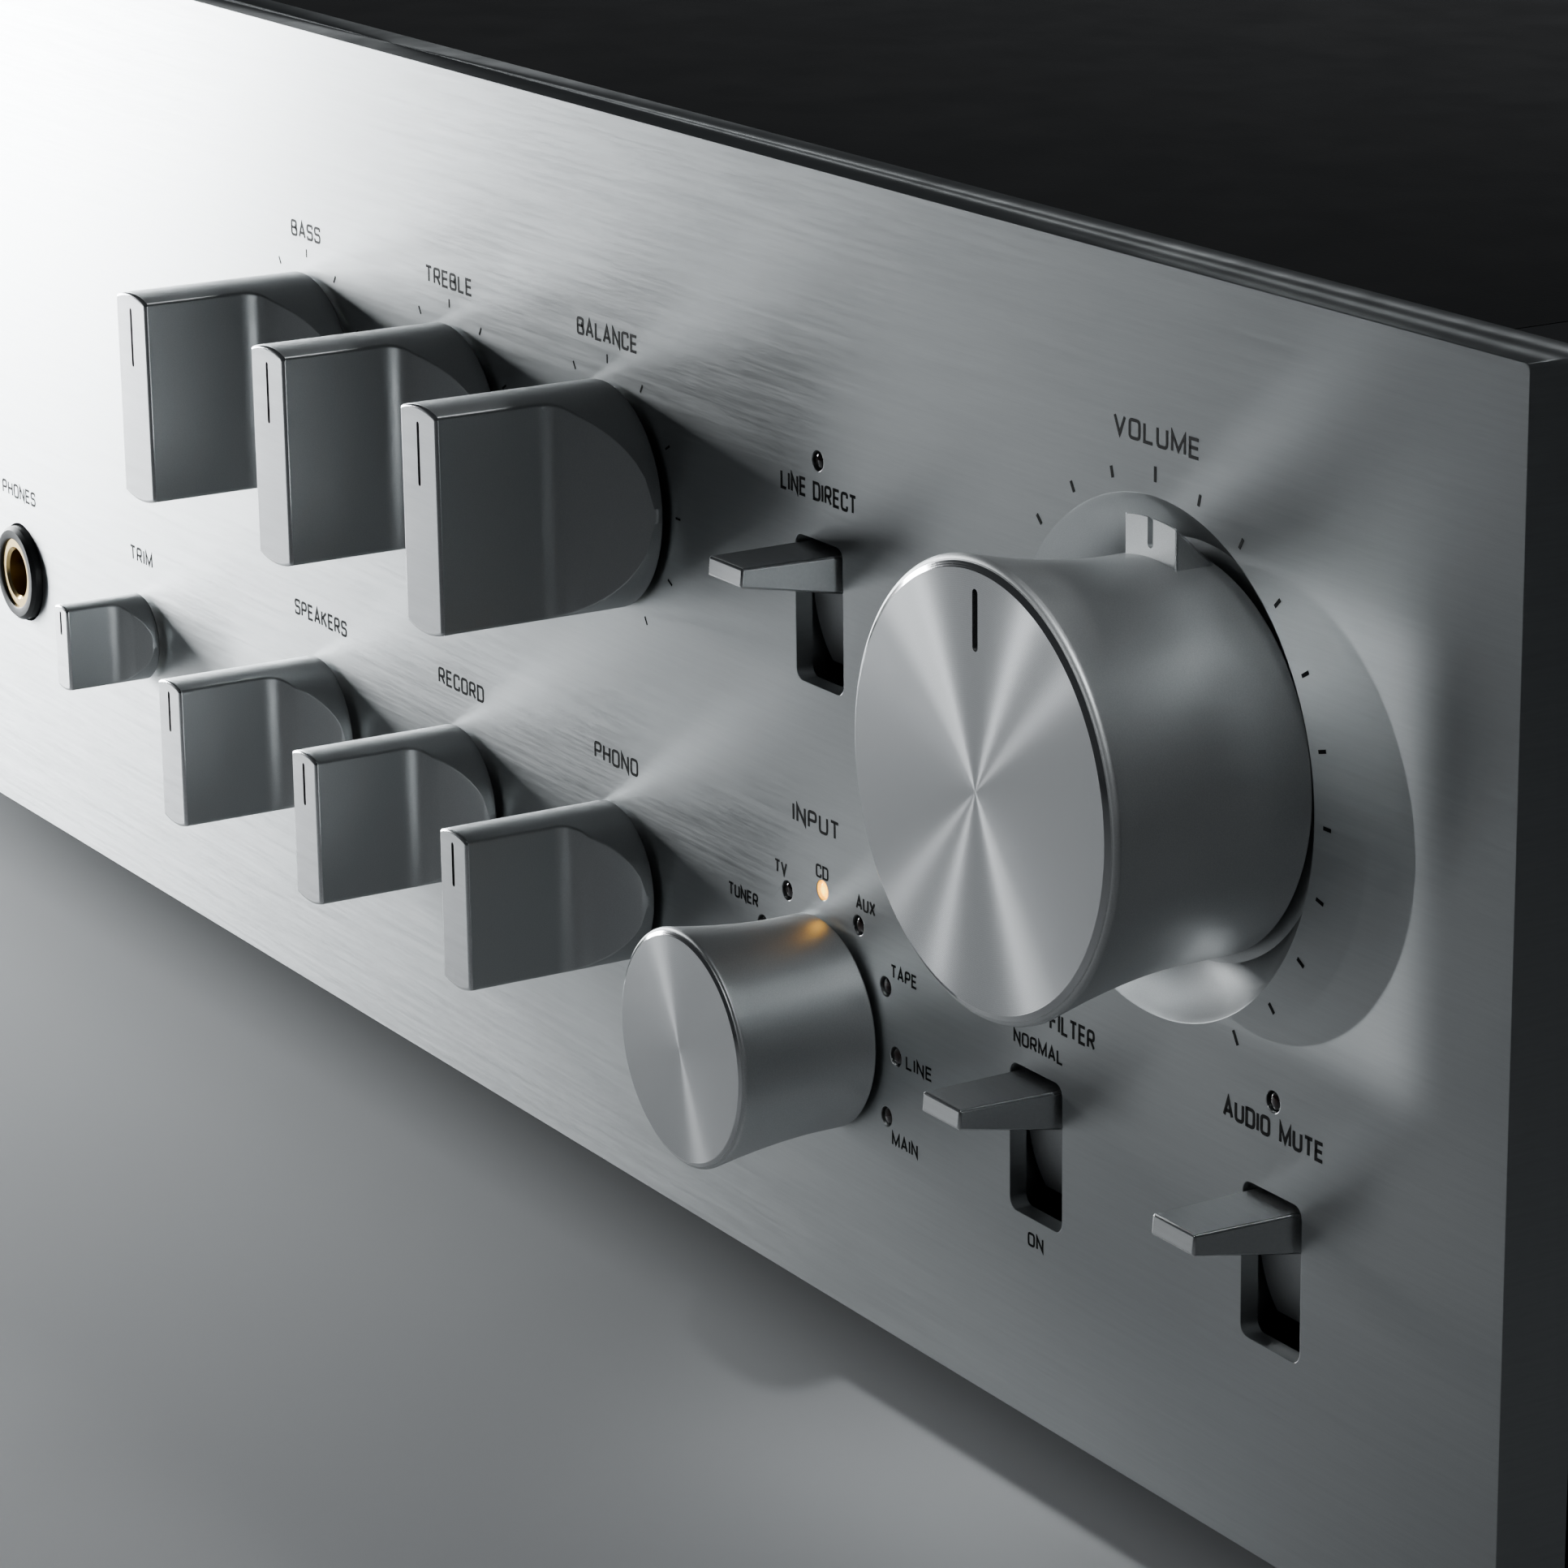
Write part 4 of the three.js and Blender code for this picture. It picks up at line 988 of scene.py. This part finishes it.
CAPITALS = 2.05  # height
SMALL = 1.5
BOLD = 0.32
FINE = 0.24
INPUT_LABELS = {
    210: "PHONO",
    180: "DISC",
    150: "TUNER",
    120: "TV",
    90: "CD",
    60: "AUX",
    30: "TAPE",
    0: "LINE",
    -30: "MAIN",
}
KNOB_LABELS = {
    "bass": ("BASS", 8.0),
    "treble": ("TREBLE", 11.5),
    "balance": ("BALANCE", 13.5),
    "speakers": ("SPEAKERS", 14.5),
    "record": ("RECORD", 11.5),
    "phono": ("PHONO", 10.0),
    "trim": ("TRIM", 7.0),
}


def ticks(mesh_data, x, z, count, step, inner, outer, width):
    """Marks on a circle about (x, z), spread evenly about its top, step degrees apart."""
    for k in range(count):
        turn = math.radians(step * (k - (count - 1) / 2))
        ends = [(x + r * math.sin(turn), z + r * math.cos(turn)) for r in (inner, outer)]
        ribbon(mesh_data, ends, width)


def panel_print():
    mesh_data = bmesh.new()
    ticks(mesh_data, VOLUME.x, VOLUME.z, 21, 15, 26.9, 28.05, 0.38)
    ticks(mesh_data, VOLUME.x, VOLUME.z, 3, 150, 28.0, 28.4, 0.38)
    for name in ("bass", "treble", "balance"):
        knob = middle(f"{name}_knob")
        ticks(mesh_data, knob.x, knob.z, 11, 30, 14.6, 15.6, FINE)
    mute, subsonic = pivot_of("mute").x, pivot_of("subsonic").x
    places = lamp_places()
    under_lamp = VOLUME.z + 14.0
    over_slots = VOLUME.z - 31.2
    for legend in (
        ("VOLUME", VOLUME.x + 0.1, VOLUME.z + 31.3, 13.9, CAPITALS, BOLD),
        ("AUDIO MUTE", mute, over_slots, 15.8, CAPITALS, 0.36),
        ("SUBSONIC FILTER", subsonic, over_slots, 20.8, CAPITALS, BOLD),
        ("NORMAL", subsonic + 0.4, VOLUME.z - 34.7, 8.8, SMALL, FINE),
        ("ON", subsonic, VOLUME.z - 55.7, 2.8, SMALL, FINE),
        ("LINE DIRECT", places["direct"][0], under_lamp, 15.0, CAPITALS, BOLD),
        ("POWER", places["power"][0], under_lamp, 9.6, CAPITALS, BOLD),
        ("INPUT", INPUT.x - 1.2, INPUT.z + 21.7, 9.4, CAPITALS, BOLD),
    ):
        write(mesh_data, *legend)
    for name, (words, width) in KNOB_LABELS.items():
        knob = middle(f"{name}_knob")
        above = corners(f"{name}_knob")[1].z + 5.0
        write(mesh_data, words, knob.x, above, width, CAPITALS, BOLD)
    phones = middle("headphone_jack")
    write(mesh_data, "PHONES", phones.x, phones.z + PHONES_HOLE + 4.5, 11.5, CAPITALS, BOLD)
    for degrees, words in INPUT_LABELS.items():
        width = 1.25 * len(words)
        across, up = math.cos(math.radians(degrees)), math.sin(math.radians(degrees))
        reach = INDICATOR_RADIUS + 2.0 + abs(across) * width / 2
        write(mesh_data, words, INPUT.x + across * reach, INPUT.z + up * reach, width, SMALL, FINE)
    fixed("panel_print", mesh_data, (ink_finish, "print_black"), place=(0, FRONT, 0))


panel_print()


# ---- Case ----

COVER_EDGE = 0.0121  # how far the cover's sheared edges are broken
REAR_EDGE = 0.0732
VENT_WIDTH = 3.0
VENTS = {"from": 62, "to": 152, "step": 10, "front": -40, "back": 90}
SCREW_HEAD = 2.9
SCREW_HOLE = 3.1
COVER_SCREWS = [(x, y) for x in (-196, 196) for y in (-120, 10, 140)]
FOOT_PAD = (18.0, 2.0)  # radius and height
FOOT_BODY = 21.5
FOOT_WAIST = 20.0


def screw_head(axis, height=1.1):
    """A low round head with a cross recess, whose top is at height."""
    arm, half = 1.7, 0.42
    corner = [(arm, -half), (arm, half), (half, half)]
    cross = [p for turn in range(4) for p in [quarter_turned(p, turn) for p in corner]]
    top = plate([circle(SCREW_HEAD, steps=40), cross], 0, height, axis)
    floor = plate([circle(SCREW_HEAD - 0.4, steps=40)], -0.3, 0.2, axis)
    return gathered((top, [ORIGIN]), (floor, [ORIGIN]))


def quarter_turned(point, turns):
    a, b = point
    for _ in range(turns):
        a, b = -b, a
    return a, b


def top_cover():
    low, high = corners("top_cover")
    loops = [rounded(high.x - low.x, high.y - low.y, 0.8, 0, (low.y + high.y) / 2, 2)]
    centre, length = (VENTS["front"] + VENTS["back"]) / 2, VENTS["back"] - VENTS["front"]
    for x in range(VENTS["from"], VENTS["to"] + 1, VENTS["step"]):
        loops += [rounded(VENT_WIDTH, length, VENT_WIDTH / 2 - 0.01, sign * x, centre, 6) for sign in (-1, 1)]
    loops += [circle(SCREW_HOLE, x, y, 32) for x, y in COVER_SCREWS]
    sheet = merged(plate(loops, low.z, high.z, "Z"))
    flatter(fixed("top_cover_sheet", sheet, POWDER_COATED, "top_cover", edges=(COVER_EDGE, 2)))
    heads = gathered((screw_head("Z"), [(x, y, low.z + 0.3) for x, y in COVER_SCREWS]))
    fixed("top_cover_screws", heads, POWDER_COATED, edges=(0.15, 2))


def foot(name):
    pad, pad_top = FOOT_PAD
    low, high = corners(name)
    height = high.z - low.z
    profile = [(0, 0), (pad - 0.5, 0), (pad, 0.5), (pad, pad_top)]
    profile += [(FOOT_WAIST, pad_top + 0.2), (FOOT_WAIST, 4.0), (FOOT_BODY - 0.3, 4.3), (FOOT_BODY, 4.8)]
    profile += [*arc(FOOT_BODY - 0.8, height - 0.8, 0.8, 0, 90, 4), (0, height)]
    bands = [1] * 4 + [0] * (len(profile) - 5)
    centre = middle(name)
    place = (centre.x, centre.y, 0)
    finishes = [plastic_finish, rubber_finish]
    piece = finished(f"{name}_body", turned(profile, 96, bands), finishes, place)
    piece.rotation_euler.x = math.radians(90)
    placed(piece, "chassis", "foot_rubber", name)


top_cover()
for foot_name in ("foot_front_left", "foot_front_right", "foot_rear_left", "foot_rear_right"):
    foot(foot_name)


# ---- Rear ----

REAR_INSIDE = corners("rear_panel")[0].y
JACK_GROUPS = {"line_input_jacks": 6, "record_jacks": 4}  # columns of jacks
JACK_PITCH = (14.0, 16.0)
JACK = {"shell": 4.15, "wall": 0.4, "bore": 1.6, "reach": 9.0, "nut": 5.6, "hole": 4.75, "inside": 1.5}
SPEAKER_SIDES = ("left", "right")
POST = {"radius": 2.0, "hole": 4.0, "collar": 6.2, "moulding": 2.3, "collar_top": 3.9, "thread": 0.35}
CAP = {"radius": 6.6, "front": 5.7, "back": 22.0, "ridges": 12, "ridge_depth": 0.8, "plug": 4.2}
GROUND = {"radius": 5.0, "front": 1.2, "back": 8.0, "thread": 1.9, "inside": 8.0, "hole": 2.5}
INLET = {
    "opening": (21.0, 14.0),
    "cup": (24.0, 17.0),
    "hole": (25.5, 18.5),
    "flange": (33.0, 26.0),
    "depth": 16.0,
}
REAR_SCREWS = [(x, z) for x in (-196, 0, 196) for z in (24, 124)]


def jack_places(node):
    centre = middle(node)
    columns = JACK_GROUPS[node]
    across, up = JACK_PITCH
    xs = [centre.x + (k - (columns - 1) / 2) * across for k in range(columns)]
    return [(x, centre.z + row * up / 2) for x in xs for row in (-1, 1)]


def cap_places(side):
    return [middle(f"speaker_cap_{side}_{k}") for k in (1, 2, 3, 4)]


def rear_panel():
    low, high = corners("rear_panel")
    loops = [rounded(high.x - low.x, high.z - low.z, 0.8, 0, (low.z + high.z) / 2, 2)]
    loops += [circle(JACK["hole"], x, z, 32) for node in JACK_GROUPS for x, z in jack_places(node)]
    loops += [circle(POST["hole"], cap.x, cap.z, 32) for side in SPEAKER_SIDES for cap in cap_places(side)]
    ground, inlet = middle("ground_terminal"), middle("mains_inlet")
    loops += [circle(GROUND["hole"], ground.x, ground.z, 24), rounded(*INLET["hole"], 0.8, inlet.x, inlet.z)]
    sheet = merged(plate(loops, REAR_INSIDE, REAR))
    flatter(fixed("rear_panel_sheet", sheet, POWDER_COATED, "rear_panel", edges=(REAR_EDGE, 2)))
    heads = gathered((screw_head("Y"), [(x, REAR + 0.1, z) for x, z in REAR_SCREWS]))
    fixed("rear_panel_screws", heads, ZINC_PLATED, edges=(0.15, 2))


def jack_group(node):
    """A board inside the panel, with a gold sleeve, a nut and an insulator for each jack."""
    low, high = corners(node)
    places = [(x, REAR, z) for x, z in jack_places(node)]
    upper = [p for p in places if p[2] > middle(node).z]
    lower = [p for p in places if p not in upper]
    shell, bore, reach, inside = JACK["shell"], JACK["bore"], JACK["reach"], -JACK["inside"]
    liner = shell - JACK["wall"]
    edge = rounded(high.x - low.x, high.z - low.z, 1.0, (low.x + high.x) / 2, (low.z + high.z) / 2)
    fixed(f"{node}_board", plate([edge], low.y, REAR_INSIDE - 0.3), MOULDED, node)
    profile = [(shell, inside), (shell, reach - 0.4), (shell - 0.2, reach)]
    profile += [(liner, reach - 0.2), (liner, inside)]
    nut = plate([circle(JACK["nut"], steps=6), circle(shell, steps=32)], 0.1, 1.7)
    metal = gathered((turned(profile, 48, closed=True), places), (nut, places))
    fixed(f"{node}_sleeves", metal, GILDED, edges=(0.12, 2), angle=50.0)
    tip = reach - 1.2
    wide = liner - 0.01
    profile = [(wide, inside), (wide, tip - 0.4), (wide - 0.4, tip)]
    profile += [(bore + 0.3, tip), (bore, tip - 0.3), (bore, inside)]
    for colour, looks, row in (("white", WHITE, upper), ("red", RED, lower)):
        fixed(f"{node}_{colour}", gathered((turned(profile, 40, closed=True), row)), looks)


def speaker_terminals(side):
    """A moulded plate with four posts, and a scalloped cap that turns on each."""
    node = f"speaker_base_{side}"
    low, high = corners(node)
    caps = cap_places(side)
    places = [(cap.x, REAR, cap.z) for cap in caps]
    outline = rounded(high.x - low.x, high.z - low.z, 3.0, (low.x + high.x) / 2, (low.z + high.z) / 2)
    sheet = plate([outline], REAR + 0.3, REAR + POST["moulding"])
    flatter(fixed(f"{node}_plate", sheet, MOULDED, node, edges=(0.5, 3)))
    collar, top, post, start = POST["collar"], POST["collar_top"], POST["radius"], POST["moulding"] - 1
    profile = [(0, start), (collar, start), (collar, top - 0.4), (collar - 0.4, top), (0, top)]
    for colour, looks, row in (("black", MOULDED, places[0::2]), ("red", RED, places[1::2])):
        fixed(f"speaker_collars_{side}_{colour}", gathered((turned(profile, 48), row)), looks)
    start, end = low.y - REAR, high.y - REAR
    turns = int((end - 1 - top) / POST["thread"])
    thread = [(post - (0.22 if k % 2 else 0), top + POST["thread"] * k) for k in range(turns)]
    profile = [(0, start), (post, start), (post, top - 0.1), *thread, (post - 0.3, end), (0, end)]
    fixed(f"speaker_posts_{side}", gathered((turned(profile, 24), places)), GILDED)
    for k, place in enumerate(places, 1):
        speaker_cap(f"speaker_cap_{side}_{k}", place, red_finish if k % 2 == 0 else plastic_finish)


def speaker_cap(node, place, band):
    """A cap bored from the front, with a coloured plug in its back."""
    radius, front, back, plug = CAP["radius"], CAP["front"], CAP["back"], CAP["plug"]
    bore, bore_end = POST["radius"] + 0.3, back - 0.6
    profile = [(0, bore_end), (bore, bore_end), (bore, front), (radius - 1.2, front)]
    profile += [(radius - 0.3, front + 0.6), (radius, front + 1.0), (radius, back - 0.8)]
    profile += [(radius - 0.3, back - 0.3), (radius - 0.8, back), (plug, back)]
    profile += [(plug - 0.2, back - 0.3), (0, back - 0.3)]
    bands = [0] * 9 + [1] * 2
    mesh_data = turned(profile, 96, bands, False, CAP["ridges"], CAP["ridge_depth"])
    cap = finished(f"{node}_cap", mesh_data, [gold_finish, band], place)
    placed(cap, f"{node}_body", "gold_plating", node)


def ground_screw():
    radius, front, back, thread = GROUND["radius"], GROUND["front"], GROUND["back"], GROUND["thread"]
    end, hollow = -GROUND["inside"], back - 0.4
    profile = [(0, end), (thread, end), (thread, front), (radius - 0.5, front), (radius, front + 0.5)]
    profile += [(radius, back - 0.5), (radius - 0.5, back), (3.0, back), (2.8, hollow), (0, hollow)]
    centre = middle("ground_terminal")
    mesh_data = turned(profile, 144, None, False, 24, 0.35)
    screw = finished("ground_thumbscrew", mesh_data, [shaft_finish], (centre.x, REAR, centre.z))
    placed(screw, "ground_screw", "shaft_steel", "ground_terminal")


def inlet_outline():
    """The socket's mouth: a rectangle whose two upper corners are cut off."""
    width, height = INLET["opening"]
    a, b, cut = width / 2, height / 2, 4.0
    return [(-a, -b), (a, -b), (a, b - cut), (a - cut, b), (cut - a, b), (-a, b - cut)]


def mains_inlet():
    centre = middle("mains_inlet")
    place = (centre.x, REAR, centre.z)
    cup = INLET["cup"]
    back = corners("mains_inlet")[0].y - REAR
    floor = -INLET["depth"]
    flange = plate([rounded(*INLET["flange"], 2.5), inlet_outline()], 0.3, 2.3)
    flatter(fixed("mains_inlet_flange", flange, MOULDED, "mains_inlet", place=place, edges=(0.4, 3)))
    walls = plate([rounded(*cup, 1.0), inlet_outline()], floor, 0.3)
    bottom = plate([rounded(cup[0] - 0.8, cup[1] - 0.8, 0.8)], back, floor + 0.2)
    fixed("mains_inlet_cup", gathered((walls, [ORIGIN]), (bottom, [ORIGIN])), MOULDED, place=place)
    blades = gathered((box(-1, 1, floor, -3, -2, 2), [(-7, 0, -2), (0, 0, 2), (7, 0, -2)]))
    fixed("mains_inlet_pins", blades, ZINC_PLATED, place=place, edges=(0.4, 3))


def rear_print():
    """Labels read from behind, so they are written from right to left and turned round."""
    mesh_data = bmesh.new()
    line, record = middle("line_input_jacks"), middle("record_jacks")
    row = JACK_PITCH[1] / 2
    over_jacks = line.z + row + 9.5
    for k, words in enumerate(("PHONO", "CD", "TUNER", "AUX", "TAPE", "LINE")):
        x = -line.x + (k - 2.5) * JACK_PITCH[0]
        write(mesh_data, words, x, over_jacks, 1.7 * len(words), CAPITALS, 0.28)
    write(mesh_data, "RECORD OUT", -record.x, over_jacks, 19.0, CAPITALS, 0.28)
    for node in JACK_GROUPS:
        beside = -corners(node)[1].x - 3.0
        write(mesh_data, "L", beside, middle(node).z + row, 1.8, 2.6, 0.4)
        write(mesh_data, "R", beside, middle(node).z - row, 1.8, 2.6, 0.4)
    for side, words in (("left", "SPEAKERS L"), ("right", "SPEAKERS R")):
        base = middle(f"speaker_base_{side}")
        write(mesh_data, words, -base.x, base.z + 16.5, 20.0, CAPITALS + 0.4, 0.32)
    ground, inlet = middle("ground_terminal"), middle("mains_inlet")
    write(mesh_data, "EARTH", -ground.x, ground.z + 9.5, 9.0, CAPITALS, 0.28)
    write(mesh_data, "AC IN", -inlet.x, inlet.z + 17.0, 9.0, CAPITALS, 0.28)
    labels = fixed("rear_print", mesh_data, (white_ink_finish, "print_white"), place=(0, REAR, 0))
    labels.rotation_euler.z = math.pi


rear_panel()
for jack_node in JACK_GROUPS:
    jack_group(jack_node)
for terminal_side in SPEAKER_SIDES:
    speaker_terminals(terminal_side)
ground_screw()
mains_inlet()
rear_print()


# ---- CAD nodes that stay ----

POWER_BOARDS = ["power_amp_board_left", "power_amp_board_right"]
CARRIED = [
    (zinc_finish, ["front_subpanel", "chassis_base", "volume_control"]),
    (plastic_finish, ["input_selector", *(f"{name}_switch" for name in LEVERS)]),
    (shaft_finish, ["volume_shaft", "input_shaft"]),
    (board_finish, ["tone_control_board", "selector_board", "preamp_board", *POWER_BOARDS]),
    (black_steel_finish, ["power_transformer"]),
    (sleeve_finish, ["filter_capacitor_left", "filter_capacitor_right"]),
    (heat_sink_finish, ["heat_sink_left", "heat_sink_right"]),
    (lacquer_finish, ["left_side_panel", "right_side_panel"]),
]
ROUNDED_NODES = {"left_side_panel": 1.2, "right_side_panel": 1.2, "power_transformer": 2.0}


def carry_over():
    for made, names in CARRIED:
        for name in names:
            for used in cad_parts[name].material_slots:
                used.material = made
    for name, width in ROUNDED_NODES.items():
        flatter(rounded_edges(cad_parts[name], width, 4))


carry_over()


# ---- Floor, lights and surroundings ----

def area_light(name, place, aim, width, height, power, spread_by=180):
    data = bpy.data.lights.new(name, "AREA")
    data.shape = "RECTANGLE"
    data.size = width * MM
    data.size_y = height * MM
    data.energy = power
    data.color = (0.95, 0.98, 1.0)
    data.spread = math.radians(spread_by)
    light = bpy.data.objects.new(name, data)
    light.location = Vector(place) * MM
    light.rotation_euler = (Vector(aim) - Vector(place)).to_track_quat("-Z", "Y").to_euler()
    light.visible_camera = False
    scene.collection.objects.link(light)


GLINTS = [(18, 0.00022), (47, 0.00028), (60, 0.00028)]  # azimuth and power
GLINT_DISTANCE = 450
GLINT_SIZE = 43  # as wide as the volume knob's face


def surroundings():
    finished("floor", plate([rounded(9000, 9000, 100)], -20, 0, "Z"), [floor_paint()])
    world = bpy.data.worlds.new("studio")
    world.use_nodes = True
    background = world.node_tree.nodes["Background"]
    background.inputs["Color"].default_value = (0.75, 0.8, 0.85, 1)
    background.inputs["Strength"].default_value = 0.035
    scene.world = world
    face = Vector((VOLUME.x, FRONT - VOLUME_FORM["reach"], VOLUME.z))
    area_light("key", (-480, -300, 110), (VOLUME.x - 40, FRONT, VOLUME.z), 200, 160, 3.6)
    for degrees, power in GLINTS:
        turn = math.radians(degrees)
        place = face + GLINT_DISTANCE * Vector((-math.cos(turn), -math.sin(turn), 0.01))
        area_light(f"glint_{degrees}", place, face, GLINT_SIZE * math.sin(turn), GLINT_SIZE, power, 1)
    area_light("over", (VOLUME.x + 160, FRONT - 200, 460), face, 50, 50, 0.006, 10)
    area_light("rear", (0, 1300, 450), (0, REAR, 60), 200, 200, 0.5, 26)
    area_light("top", (-100, 500, 1300), (-40, 60, 130), 400, 300, 0.2, 26)


surroundings()
